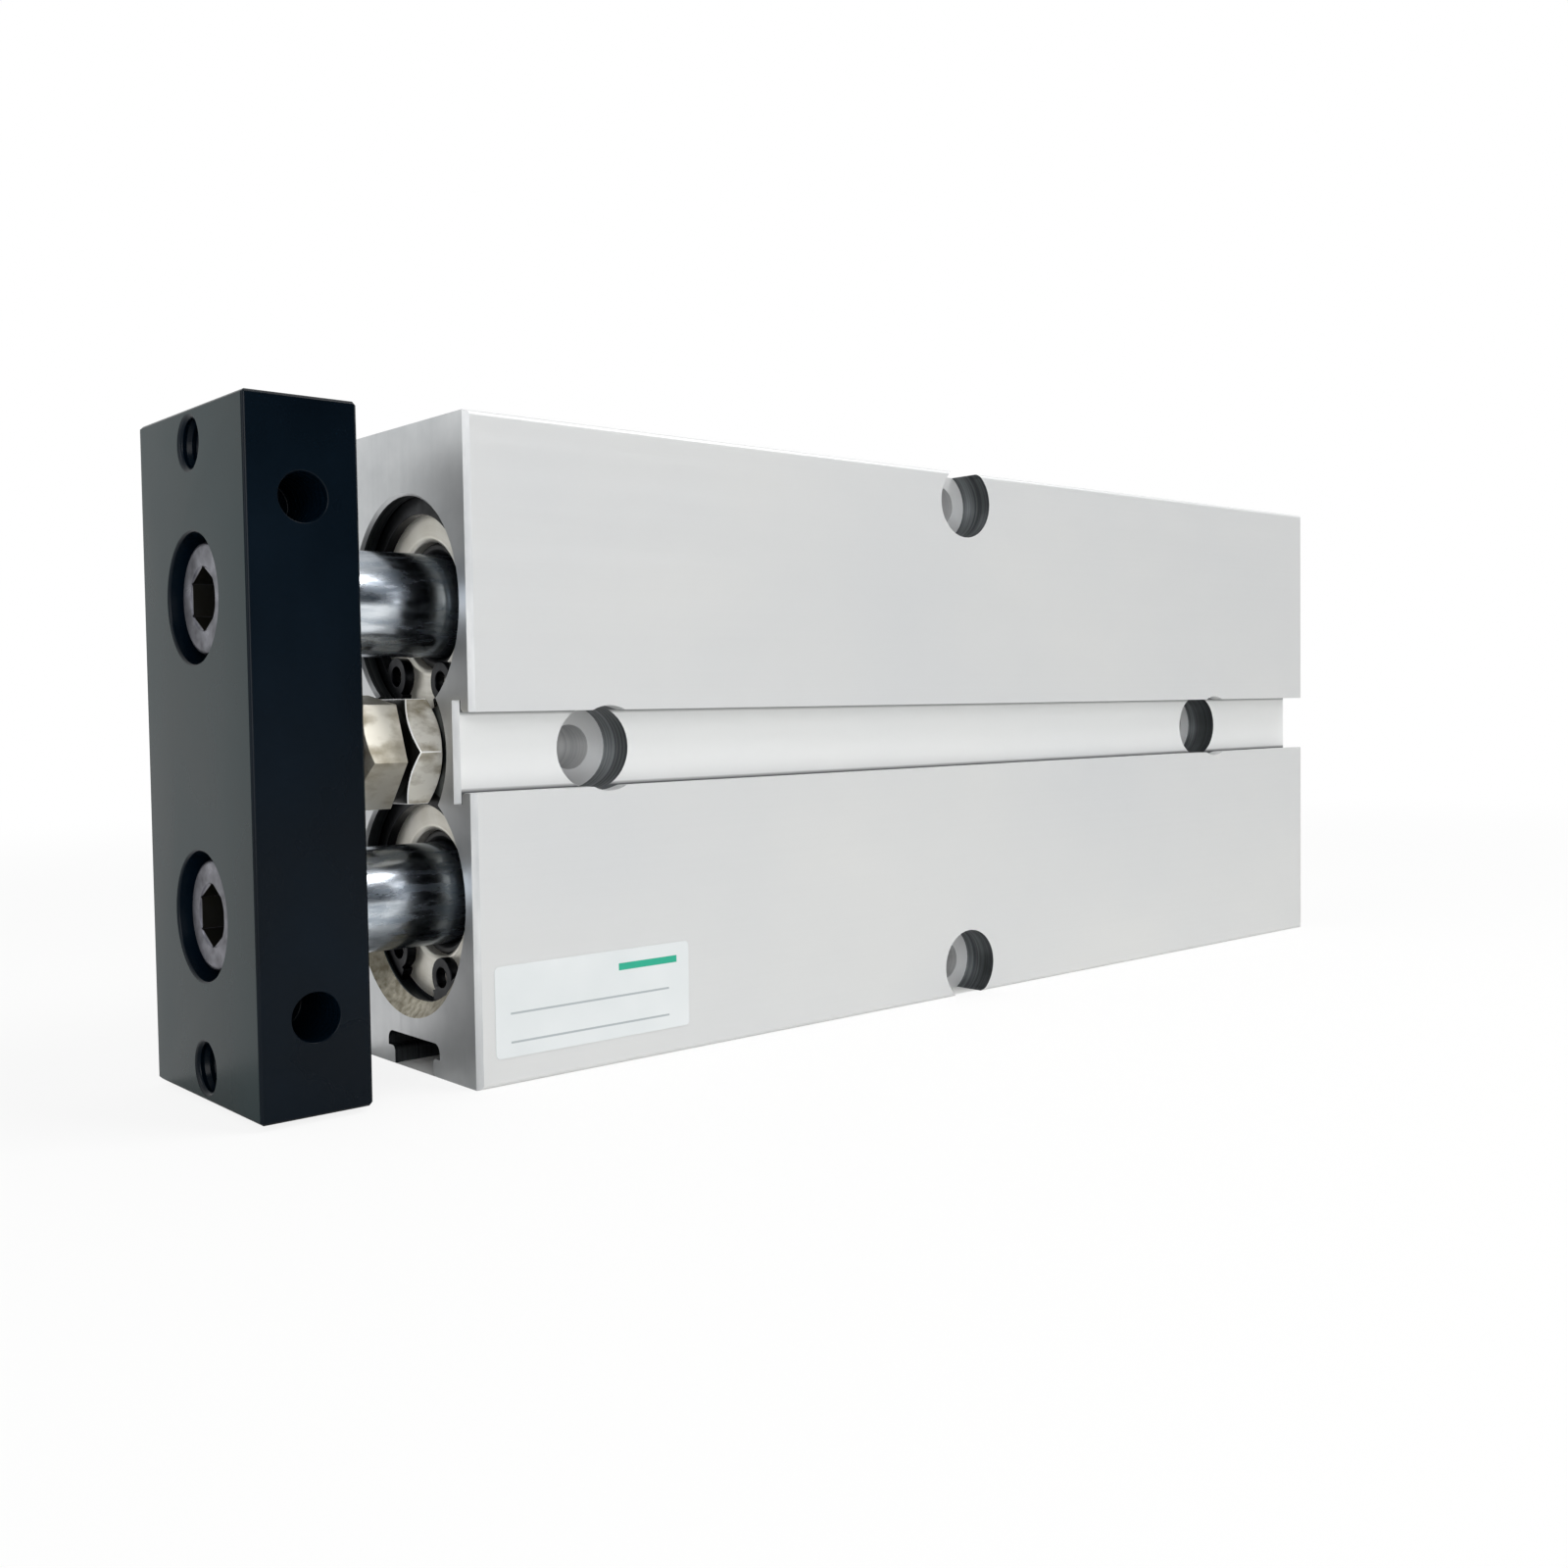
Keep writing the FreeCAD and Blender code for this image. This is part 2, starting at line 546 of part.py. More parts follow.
def make_rear_covers():
    outside = "seat - cover_clearance"
    groove_end = "rear_packing_inset + packing_groove"
    groove_floor = "seat - packing_depth"
    nose_end = "rear_flange + rear_nose"
    for row, axis_z in (("upper", "upper_z"), ("lower", "lower_z")):
        turned(f"rear_cover_{row}", (
            ("0", "0"), ("0", outside),
            ("rear_packing_inset", outside), ("rear_packing_inset", groove_floor),
            (groove_end, groove_floor), (groove_end, outside),
            ("rear_flange", outside), ("rear_flange", "nose_radius"),
            (nose_end, "nose_radius"), (nose_end, "0"),
        ), x="rear_cover_face", z=axis_z)
        make_packing(f"rear_o_ring_{row}", "rear_packing_inset + packing_groove / 2",
                     "rear_cover_face", axis_z)


def make_retaining_ring(label, x, axis_z, turn):
    """An eared internal retaining ring, its gap downwards and turned a little about X."""
    ring = new_piece(label, x=x, z=axis_z)
    ring.Placement.Rotation = Rotation(Vector(1, 0, 0), turn)
    outside = "ring_seat - seat_clearance"
    band = new_sketch(ring, "band", "YZ_Plane")
    draw_circles(band, (("0", "0", outside),
                        ("0", "-ring_taper", f"{outside} - ring_width + ring_taper")))
    add_pad(ring, "band_pad", band, "ring_thickness")
    gap = new_sketch(ring, "gap", "YZ_Plane")
    reach = "2 * ring_seat"
    side = f"{reach} * tan(ring_gap_angle * 1 deg)"
    draw_outline(gap, (("0", "0"), (side, f"-{reach}"), (f"-{side}", f"-{reach}")))
    add_pocket(ring, "gap_cut", gap, reverse=True)
    lug_y = "lug_circle * sin(lug_angle * 1 deg)"
    lug_z = "-lug_circle * cos(lug_angle * 1 deg)"
    lug = new_sketch(ring, "lug", "YZ_Plane")
    draw_circles(lug, ((lug_y, lug_z, "lug_radius"),))
    lug_pad = add_pad(ring, "lug_pad", lug, "ring_thickness")
    hole = new_sketch(ring, "lug_hole", "YZ_Plane")
    draw_circles(hole, ((lug_y, lug_z, "lug_hole"),))
    lug_cut = add_pocket(ring, "lug_cut", hole, reverse=True)
    add_mirror(ring, "other_lug", [lug_pad, lug_cut], "XZ_Plane")


def make_retaining_rings():
    for row, axis_z, front_turn in (("upper", "upper_z", -4), ("lower", "lower_z", -12)):
        make_retaining_ring(f"front_circlip_{row}", "front_cover_face", axis_z, front_turn)
        make_retaining_ring(f"rear_circlip_{row}", "rear_cover_face - ring_thickness", axis_z, 0)


# What moves. A rod's origin is the middle of its front end, a piston's that of its rear face.

def make_rods():
    shoulder = "-rod_length"
    spigot_end = f"{shoulder} - spigot_length"
    cap_hole = "cap_thread + seat_clearance"
    piston_hole = "piston_thread + seat_clearance"
    for row, axis_z in (("upper", "upper_z"), ("lower", "lower_z")):
        turned(f"piston_rod_{row}", (
            ("-rod_tap_depth", "0"), ("-rod_tap_depth", cap_hole), ("0", cap_hole),
            ("0", "rod_radius - rod_chamfer"), ("-rod_chamfer", "rod_radius"),
            (shoulder, "rod_radius"), (shoulder, "spigot_radius"), (spigot_end, "spigot_radius"),
            (spigot_end, piston_hole), (f"{spigot_end} + piston_tap_depth", piston_hole),
            (f"{spigot_end} + piston_tap_depth", "0"),
        ), x="plate_back", z=axis_z)


def grooves_along(edge, grooves):
    """Corners of an outer edge with grooves cut in it, each (start, width, floor radius)."""
    corners = []
    for start, width, floor in grooves:
        corners += [(start, edge), (start, floor),
                    (f"{start} + {width}", floor), (f"{start} + {width}", edge)]
    return corners


def make_pistons():
    edge = "bore / 2 - piston_gap"
    wear_groove = ("wear_start", "wear_width", f"{edge} - wear_depth")
    seal_groove = ("seal_start", "piston_seal_width", f"{edge} - piston_seal_depth")
    magnet_groove = ("magnet_start", "magnet_width", f"{edge} - magnet_depth")
    grooves_of = {
        "upper": (wear_groove, seal_groove),
        "lower": (magnet_groove, wear_groove, seal_groove),
    }
    for row, axis_z in (("upper", "upper_z"), ("lower", "lower_z")):
        spigot_hole = "spigot_radius + seat_clearance"
        rod_recess = "rod_radius + seat_clearance"
        turned(f"piston_{row}", (
            ("0", "piston_cup_radius"), ("0", edge), *grooves_along(edge, grooves_of[row]),
            ("piston_length", edge), ("piston_length", rod_recess),
            ("piston_length - piston_register", rod_recess),
            ("piston_length - piston_register", spigot_hole),
            ("piston_cup_depth", spigot_hole), ("piston_cup_depth", "piston_cup_radius"),
        ), x="piston_rear", z=axis_z)
        turned(f"wear_ring_{row}", ring_profile(
            "wear_start + seat_clearance", "wear_width - 2 * seat_clearance",
            f"{edge} - wear_depth + seat_clearance", "bore / 2 - running_clearance",
        ), x="piston_rear", z=axis_z)
        turned(f"piston_seal_{row}", ring_profile(
            "seal_start + seat_clearance", "piston_seal_width - 2 * seat_clearance",
            f"{edge} - piston_seal_depth + seat_clearance", "bore / 2 - running_clearance",
        ), x="piston_rear", z=axis_z)
        turned(f"rear_bumper_{row}", ring_profile(
            "-bumper_thickness", "bumper_thickness", "piston_cup_radius", "bumper_outside",
        ), x="piston_rear", z=axis_z)
        turned(f"front_bumper_{row}", ring_profile(
            "0", "bumper_thickness", "rod_radius + running_clearance", "bumper_outside",
        ), x="piston_front", z=axis_z)
    turned("magnet_ring", ring_profile(
        "magnet_start + seat_clearance", "magnet_width - 2 * seat_clearance",
        f"{edge} - magnet_depth + seat_clearance", f"{edge} - seat_clearance",
    ), x="piston_rear", z="lower_z")


def add_socket(piece, face, flats, depth, reverse):
    """A hexagon socket in the end of a screw's head."""
    sketch = new_sketch(piece, "socket", "YZ_Plane", height=face)
    draw_hexagon(sketch, flats)
    add_pocket(piece, "socket_cut", sketch, depth, reverse=reverse)


def make_cap_screws():
    """Screws whose origin is the underside of the head; the plate's head faces the front."""
    for row, axis_z in (("upper", "upper_z"), ("lower", "lower_z")):
        screw = turned(f"plate_screw_{row}", (
            ("-cap_length", "0"), ("-cap_length", "cap_thread"), ("0", "cap_thread"),
            ("0", "cap_head"), ("cap_head_height - cap_edge", "cap_head"),
            ("cap_head_height", "cap_head - cap_edge"), ("cap_head_height", "0"),
        ), x="plate_back + plate_web", z=axis_z)
        add_socket(screw, "cap_head_height", "cap_socket_flats", "cap_socket_depth", False)
        screw = turned(f"piston_screw_{row}", (
            ("piston_screw_length", "0"), ("piston_screw_length", "piston_thread"),
            ("0", "piston_thread"), ("0", "piston_screw_head"),
            ("-piston_screw_head_height", "piston_screw_head"),
            ("-piston_screw_head_height", "0"),
        ), x="piston_rear + piston_cup_depth", z=axis_z)
        add_socket(screw, "-piston_screw_head_height", "piston_screw_socket_flats",
                   "piston_screw_socket_depth", True)


# The end plate. Its origin is the middle of its back.

def make_end_plate():
    plate = new_piece("end_plate", x="plate_back", z="middle_z")
    half_depth = "plate_depth / 2"
    half_height = "plate_height / 2"
    outline = new_sketch(plate, "outline", "YZ_Plane")
    draw_outline(outline, (
        (half_depth, half_height), (f"-{half_depth}", half_height),
        (f"-{half_depth}", f"-{half_height}"), (half_depth, f"-{half_height}")))
    add_pad(plate, "slab", outline, "plate_thickness")
    dress(plate, "PartDesign::Chamfer", "edges", "Size", "plate_edge", lambda start, end: True)

    screw_points = new_sketch(plate, "screw_points", "YZ_Plane", height="plate_thickness")
    draw_circles(screw_points, (
        ("0", "axis_pitch / 2", "plate_clearance"), ("0", "-axis_pitch / 2", "plate_clearance")))
    add_hole(plate, "screw_holes", screw_points, "plate_clearance",
             head=("plate_head", "plate_head_depth"))
    front_points = new_sketch(plate, "front_points", "YZ_Plane", height="plate_thickness")
    draw_circles(front_points, (
        ("0", "load_front_pitch / 2", "load_tap"), ("0", "-load_front_pitch / 2", "load_tap")))
    add_hole(plate, "front_taps", front_points, "load_tap")
    side_points = new_sketch(plate, "side_points", "XZ_Plane", height=f"-{half_depth}")
    draw_circles(side_points, (
        ("plate_thickness / 2", "load_side_pitch / 2", "load_tap"),
        ("plate_thickness / 2", "-load_side_pitch / 2", "load_tap")))
    side_taps = add_hole(
        plate, "side_taps", side_points, "load_tap", depth="load_side_depth", reverse=True)
    add_mirror(plate, "other_side_taps", [side_taps], "XZ_Plane")
    pad_recess = new_sketch(plate, "pad_recess", "YZ_Plane")
    draw_circles(pad_recess, (("0", "0", "pad_stem_radius + seat_clearance"),))
    add_pocket(plate, "pad_recess_cut", pad_recess, "pad_stem_length + seat_clearance",
               reverse=True)


# The stop screw on the middle line, its jam nut, and the bumper that meets its head.

def hexagon_with_bevels(piece, start, height, bevel_start, bevel_end):
    """A hexagon prism along X with its corners turned off at either end."""
    prism_sketch = new_sketch(piece, "hexagon", "YZ_Plane", height=start)
    draw_hexagon(prism_sketch, "stop_flats")
    add_pad(piece, "prism", prism_sketch, height)
    corner = "stop_flats / sqrt(3)"
    outer = f"{corner} * 1.2"
    rise = f"({outer} - stop_flats / 2 * 0.97) * tan(hex_bevel_angle * 1 deg)"
    face = f"({start} + {height})"
    for wanted, name, end, inward in (
            (bevel_end, "bevel_end", face, "-"), (bevel_start, "bevel_start", start, "+")):
        if not wanted:
            continue
        section = new_sketch(piece, name, "XZ_Plane")
        draw_outline(section, (
            (end, "stop_flats / 2 * 0.97"), (end, outer), (f"{end} {inward} {rise}", outer)))
        cut = piece.newObject("PartDesign::Groove", f"{piece.Label}_{name}_cut")
        cut.Profile = section
        cut.ReferenceAxis = (section, ["H_Axis"])
        cut.Angle = 360


def make_stop():
    screw = new_piece("stop_screw", x="stop_head_seat", z="middle_z")
    screw.Placement.Rotation = Rotation(Vector(1, 0, 0), size("stop_head_turn"))
    hexagon_with_bevels(screw, "0", "stop_head_height", False, True)
    shank = new_sketch(screw, "shank", "YZ_Plane")
    draw_circles(shank, (("0", "0", "stop_thread"),))
    add_pad(screw, "shank_pad", shank, "stop_length", reverse=True)

    nut = new_piece("jam_nut", x="nut_seat", z="middle_z")
    hexagon_with_bevels(nut, "0", "nut_height", True, True)
    thread = new_sketch(nut, "thread", "YZ_Plane")
    draw_circles(thread, (("0", "0", "stop_thread + running_clearance"),))
    add_pocket(nut, "thread_cut", thread, reverse=True)

    turned("plate_bumper", (
        ("pad_stem_length", "0"), ("pad_stem_length", "pad_stem_radius"),
        ("0", "pad_stem_radius"), ("0", "pad_radius"), ("-pad_height", "pad_radius"),
        ("-pad_height", "0"),
    ), x="plate_back", z="middle_z")


def check_document():
    """Stop if any object failed, or any piece is empty or broken."""
    for item in doc.Objects:
        if "Invalid" in item.State or "Error" in item.State:
            raise RuntimeError(f"{item.Label} did not recompute: {item.State}")
    for label, piece in parts.items():
        if piece.Shape.isNull() or not piece.Shape.isValid():
            raise RuntimeError(f"{label} has no valid shape")
        if len(piece.Shape.Solids) != 1:
            raise RuntimeError(f"{label} is {len(piece.Shape.Solids)} solids")


def write_parts():
    os.makedirs("parts", exist_ok=True)
    for label, piece in parts.items():
        piece.Shape.exportStep(os.path.join("parts", f"{label}.step"))
    print(f"{len(parts)} pieces written")


fill_sheets()
make_body()
make_front_covers()
make_rear_covers()
make_retaining_rings()
make_rods()
make_pistons()
make_cap_screws()
make_end_plate()
make_stop()
doc.recompute()
check_document()
write_parts()
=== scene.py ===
# %% [markdown]
# # A twin-rod air cylinder, dressed for the studio
#
# The real object pushes a black end plate with two rods that run side by side in one silver
# extrusion. Its CAD model gives every size and place, and this script gives each surface its
# finish: soft edges, turned faces, threads, plating and the light that shows them.
#
# The frame comes first, because every later cell measures it.

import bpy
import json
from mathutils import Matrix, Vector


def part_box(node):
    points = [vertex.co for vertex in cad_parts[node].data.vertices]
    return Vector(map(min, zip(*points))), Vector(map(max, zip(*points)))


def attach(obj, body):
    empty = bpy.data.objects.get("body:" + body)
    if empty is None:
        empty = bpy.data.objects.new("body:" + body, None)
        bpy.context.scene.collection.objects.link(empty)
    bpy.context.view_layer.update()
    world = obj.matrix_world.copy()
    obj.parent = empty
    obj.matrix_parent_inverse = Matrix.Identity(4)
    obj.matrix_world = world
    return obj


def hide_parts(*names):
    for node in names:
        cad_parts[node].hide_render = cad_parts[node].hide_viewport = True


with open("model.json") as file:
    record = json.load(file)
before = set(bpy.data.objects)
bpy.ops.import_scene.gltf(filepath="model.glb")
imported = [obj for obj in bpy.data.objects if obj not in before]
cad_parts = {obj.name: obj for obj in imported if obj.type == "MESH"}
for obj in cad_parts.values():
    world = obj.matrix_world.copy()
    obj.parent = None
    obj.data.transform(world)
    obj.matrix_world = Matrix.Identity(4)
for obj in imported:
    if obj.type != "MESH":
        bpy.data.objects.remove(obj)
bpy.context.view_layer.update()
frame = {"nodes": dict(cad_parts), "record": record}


# %% [markdown]
# Blender works in metres and the object is drawn in millimetres, so one constant turns one into
# the other. The places that are used again and again are read from the boxes of the CAD nodes:
# the two rod axes, the ends of the body and the two faces of the plate.

# %% Read the main places from the frame
import json
import math

import bpy
from mathutils import Vector

MM = 0.001

body_low, body_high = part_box("body")
plate_low, plate_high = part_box("end_plate")
rod_low, rod_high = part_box("piston_rod_upper")
rod_radius = (rod_high.z - rod_low.z) / 2
upper_axis = (rod_high.z + rod_low.z) / 2
middle = (body_high.z + body_low.z) / 2
half_pitch = upper_axis - middle
lower_axis = middle - half_pitch
body_centre = (body_high.x + body_low.x) / 2
print("rods", round(2 * rod_radius / MM, 1), "mm,", round(2 * half_pitch / MM, 1), "mm apart")

# %% [markdown]
# ## The camera
#
# A product is easiest to read from slightly above its middle and to one side of its front corner.
# The camera stands close, as for a small part on a table, so the near end looks clearly larger
# than the far one. A long lens from far away would flatten that. The small shift frames the
# object without turning the camera.

# %% Set up the camera
SENSOR_WIDTH = 36
FOCAL_LENGTH = 36.07875
SHIFT = (-0.0343125, -0.0149375)
CAMERA_PLACE = (131.69 * MM, 139.88 * MM, 35.53 * MM)
CAMERA_TURN = (87.73, 0.73, 137.49)

camera_data = bpy.data.cameras.new("studio_camera")
camera_data.sensor_width = SENSOR_WIDTH
camera_data.lens = FOCAL_LENGTH
camera_data.shift_x, camera_data.shift_y = SHIFT
camera_data.clip_start = 1 * MM
camera = bpy.data.objects.new("studio_camera", camera_data)
camera.location = CAMERA_PLACE
camera.rotation_euler = [math.radians(angle) for angle in CAMERA_TURN]
bpy.context.scene.collection.objects.link(camera)
bpy.context.scene.camera = camera
print("lens", round(camera_data.lens, 1), "mm")

# %% [markdown]
# ## Colours and nodes
#
# Colours are given as sRGB hex values, but shaders count in linear light, so one function turns
# the first into the second. One more function adds a node with its settings and its links, which
# keeps each material down to the few lines that say what it looks like.
# Patterns read Object coordinates, which are metres in this file, so a scale of one over the
# real size gives that size.

# %% Helpers for colours and nodes
def linear(hex_colour):
    """A colour such as "C0C4C8" as linear red, green, blue and alpha."""
    levels = [int(hex_colour[i:i + 2], 16) / 255 for i in (0, 2, 4)]
    return [v / 12.92 if v <= 0.04045 else ((v + 0.055) / 1.055) ** 2.4 for v in levels] + [1]


def node(tree, kind, sockets=(), **settings):
    """Add a node; each socket is given a plain value or another node's output."""
    made = tree.nodes.new(kind)
    for name, value in settings.items():
        setattr(made, name, value)
    for name, value in dict(sockets).items():
        if isinstance(value, bpy.types.NodeSocket):
            tree.links.new(value, made.inputs[name])
        else:
            made.inputs[name].default_value = value
    return made


def new_finish(name, **plain):
    """A material with plain values on its shader, given with its tree and its shader."""
    material = bpy.data.materials.new(name)
    material.use_nodes = True
    tree = material.node_tree
    shader = tree.nodes["Principled BSDF"]
    for socket, value in plain.items():
        shader.inputs[socket.replace("_", " ")].default_value = value
    return material, tree, shader


def object_axes(tree):
    """The X, Y and Z of each point of the object, in metres."""
    place = node(tree, "ShaderNodeTexCoord").outputs["Object"]
    return node(tree, "ShaderNodeSeparateXYZ", {0: place}).outputs


print("mid grey", [round(v, 3) for v in linear("808080")[:3]])

# %% [markdown]
# ## The studio
#
# A pale floor and a pale backdrop keep the eye on the object. What the camera sees behind the
# object is pure white, and polished metal and glass see it too, through the Light Path node. The
# rest of the world is dimmer, so that the lamps shape the object. A real studio is bright where
# the backdrop hangs and darker behind the camera, and metal needs that contrast, so the world
# fades from one to the other.

# %% Make the world
BACKDROP_SIDE = (-0.1, -1, 0.2)
ROOM_LIGHT = 0.55

world = bpy.data.worlds.new("studio_world")
bpy.context.scene.world = world
world.use_nodes = True
tree = world.node_tree
tree.nodes.clear()
direction = node(tree, "ShaderNodeTexCoord").outputs["Generated"]
towards = node(tree, "ShaderNodeVectorMath", {
    0: direction, 1: Vector(BACKDROP_SIDE).normalized()}, operation="DOT_PRODUCT")
fade = node(tree, "ShaderNodeMapRange", {
    "Value": towards.outputs["Value"], "From Min": -0.8, "From Max": 0.3,
}, interpolation_type="SMOOTHSTEP").outputs["Result"]
room_colour = node(tree, "ShaderNodeMix", {
    0: fade, 6: linear("2C343C"), 7: linear("FAFCFC")}, data_type="RGBA").outputs[2]
path = node(tree, "ShaderNodeLightPath").outputs
seen = node(tree, "ShaderNodeMath", {
    0: path["Is Camera Ray"], 1: path["Is Transmission Ray"]}, operation="MAXIMUM").outputs[0]
reflected = node(tree, "ShaderNodeMath", {
    0: path["Is Glossy Ray"], 1: seen}, operation="MAXIMUM").outputs[0]
strength = node(tree, "ShaderNodeMapRange", {"Value": reflected, "To Min": ROOM_LIGHT})
shown_colour = node(tree, "ShaderNodeMix", {
    0: seen, 6: room_colour, 7: linear("FFFFFF")}, data_type="RGBA").outputs[2]
sky = node(tree, "ShaderNodeBackground", {
    "Color": shown_colour, "Strength": strength.outputs[0]})
node(tree, "ShaderNodeOutputWorld", {"Surface": sky.outputs[0]})
print("world with", len(tree.nodes), "nodes")

# %% [markdown]
# The floor is one large sheet at the lowest point of the object. The camera sees it almost white,
# because part of its shader gives light to camera rays alone, and the other part still takes the
# object's shadow. That share grows with the distance from the object, so the floor runs into the
# white backdrop with no horizon. Right under the body the share is nothing, so the shadow that is
# seen through the sensor slot stays dark. Behind the object polished metal sees the flat floor as
# white too, as if the paper curved up into the backdrop.

# %% Lay the floor
FLOOR_SIZE = 6.0
SHADOW_REACH = (0.12, 0.4)
WHITE_SHARE = 0.86

bpy.ops.object.select_all(action="DESELECT")
bpy.ops.mesh.primitive_plane_add(size=FLOOR_SIZE, location=(0, 0, body_low.z))
floor = bpy.context.object
floor.name = "floor"
paper, tree, shader = new_finish("white_paper_floor", Roughness=0.8, IOR=1.4)
shader.inputs["Base Color"].default_value = linear("F4F4F2")
place = node(tree, "ShaderNodeTexCoord").outputs["Object"]
axes = node(tree, "ShaderNodeSeparateXYZ", {0: place}).outputs
distance = node(tree, "ShaderNodeVectorMath", {0: place}, operation="LENGTH").outputs["Value"]
share = node(tree, "ShaderNodeMapRange", {
    "Value": distance, "From Min": SHADOW_REACH[0], "From Max": SHADOW_REACH[1],
    "To Min": WHITE_SHARE,
}, interpolation_type="SMOOTHSTEP").outputs["Result"]
along = node(tree, "ShaderNodeMath", {
    0: axes["X"], 1: body_centre}, operation="SUBTRACT").outputs[0]
past_body = []
for value, reach in (
        (axes["Y"], body_high.y - 1 * MM), (along, (body_high.x - body_low.x) / 2)):
    size = node(tree, "ShaderNodeMath", {0: value}, operation="ABSOLUTE").outputs[0]
    past_body.append(node(tree, "ShaderNodeMath", {
        0: size, 1: reach}, operation="GREATER_THAN").outputs[0])
open_floor = node(tree, "ShaderNodeMath", {
    0: past_body[0], 1: past_body[1]}, operation="MAXIMUM").outputs[0]
share = node(tree, "ShaderNodeMath", {
    0: share, 1: open_floor}, operation="MULTIPLY").outputs[0]
path = node(tree, "ShaderNodeLightPath").outputs
far_side = node(tree, "ShaderNodeMath", {
    0: axes["Y"], 1: body_low.y}, operation="LESS_THAN").outputs[0]
mirrored = node(tree, "ShaderNodeMath", {
    0: path["Is Glossy Ray"], 1: far_side}, operation="MULTIPLY").outputs[0]
lit = node(tree, "ShaderNodeMath", {
    0: path["Is Camera Ray"], 1: mirrored}, operation="MAXIMUM").outputs[0]
whiten = node(tree, "ShaderNodeMath", {0: lit, 1: share}, operation="MULTIPLY").outputs[0]
glow = node(tree, "ShaderNodeEmission", {"Color": linear("FFFFFF"), "Strength": 1.0})
mixed = node(tree, "ShaderNodeMixShader", {
    0: whiten, 1: shader.outputs[0], 2: glow.outputs[0]})
tree.links.new(mixed.outputs[0], tree.nodes["Material Output"].inputs["Surface"])
floor.data.materials.append(paper)
print("floor at height", round(body_low.z / MM, 2), "mm")

# %% [markdown]
# Three soft lamps are enough. The key lamp lights the wide silver face from the camera's side
# and above, a lamp over the body makes the long bright streaks along the polished rods, and a
# weak lamp in front lifts the black plate off the background.

# %% Hang the lamps
object_middle = (0, 0, middle)
rods_in_sight = (0.065, 0, middle)
lamps = (
    ("key_lamp", (0.4, 0.55, 0.2), object_middle, 0.5, 0.5, 3.2),
    ("front_lamp", (0.95, -0.1, 0.35), object_middle, 0.4, 0.5, 1.4),
    ("rod_lamp", (-0.18, 0.24, 0.43), rods_in_sight, 0.26, 0.2, 1.35),
)
for name, place, target, width, height, power in lamps:
    data = bpy.data.lights.new(name, "AREA")
    data.shape = "RECTANGLE"
    data.size = width
    data.size_y = height
    data.energy = power
    lamp = bpy.data.objects.new(name, data)
    lamp.location = place
    aim = Vector(target) - Vector(place)
    lamp.rotation_euler = aim.to_track_quat("-Z", "Y").to_euler()
    bpy.context.scene.collection.objects.link(lamp)
print(len(lamps), "lamps, the key lamp", round(Vector(lamps[0][1]).length, 2), "m away")

# %% [markdown]
# ## Finishes
#
# No real surface has one flat colour. Each finish here is made of three things that follow a
# pattern of noise: a colour that drifts between two tones, a roughness that drifts between two
# values, and a relief of a few thousandths of a millimetre. Three helpers build those. A noise
# rarely goes below 0.3 or above 0.7, so those two ends are spread over the whole range.

# %% Helpers for patterns
def stretched_noise(tree, size_mm, detail=2.0, roughness=0.5):
    """Noise on Object coordinates whose cells have the given size in mm along x, y and z."""
    coordinates = node(tree, "ShaderNodeTexCoord").outputs["Object"]
    placed = node(tree, "ShaderNodeMapping", {
        "Vector": coordinates, "Scale": [1 / (size * MM) for size in size_mm]}).outputs[0]
    return node(tree, "ShaderNodeTexNoise", {
        "Vector": placed, "Scale": 1.0, "Detail": detail, "Roughness": roughness,
    }).outputs["Fac"]


def tones(tree, pattern, first, second, start=0.3, end=0.7):
    """A colour that goes from one hex value to another as a pattern goes from start to end."""
    share = node(tree, "ShaderNodeMapRange", {
        "Value": pattern, "From Min": start, "From Max": end}).outputs["Result"]
    return node(tree, "ShaderNodeMix", {
        0: share, 6: linear(first), 7: linear(second)}, data_type="RGBA").outputs[2]


def dress(tree, shader, colour, sheen, low, high, height, depth_mm, start=0.3, end=0.7):
    """Feed the shader a colour, a roughness from low to high and a relief of some depth."""
    rough = node(tree, "ShaderNodeMapRange", {
        "Value": sheen, "From Min": start, "From Max": end, "To Min": low, "To Max": high})
    bump = node(tree, "ShaderNodeBump", {
        "Height": height, "Strength": 1.0, "Distance": depth_mm * MM})
    tree.links.new(colour, shader.inputs["Base Color"])
    tree.links.new(rough.outputs["Result"], shader.inputs["Roughness"])
    tree.links.new(bump.outputs["Normal"], shader.inputs["Normal"])


print("pattern helpers ready")

# %% [markdown]
# ** Clear anodised aluminium, extruded.** The body is pressed through a die, etched matt and given a clear oxide layer a few hundredths of a millimetre thick. The die leaves very fine lines along the length, and the etch turns the metal satin, so reflections are broad. The oxide scatters some light like paper does, so the finish isn't fully metallic. The lines are really about 0.05 mm apart. They are drawn 0.25 mm apart, or they would vanish at this distance. The floors of the long channels get a much lighter copy of this finish, a painted light that lifts the shade between the lips, and a thin dark line along both lips is a painted shadow.

# %% Clear anodised aluminium
def extruded_finish(name, first, second):
    """Satin oxide over the die's lines; returns what is needed to change its colour too."""
    material, tree, shader = new_finish(name, Metallic=0.35)
    die_lines = stretched_noise(tree, (90, 0.25, 0.25))
    clouds = stretched_noise(tree, (40, 25, 25), detail=3)
    colour = tones(tree, clouds, first, second)
    dress(tree, shader, colour, die_lines, 0.46, 0.54, die_lines, 0.001)
    return material, tree, shader, colour


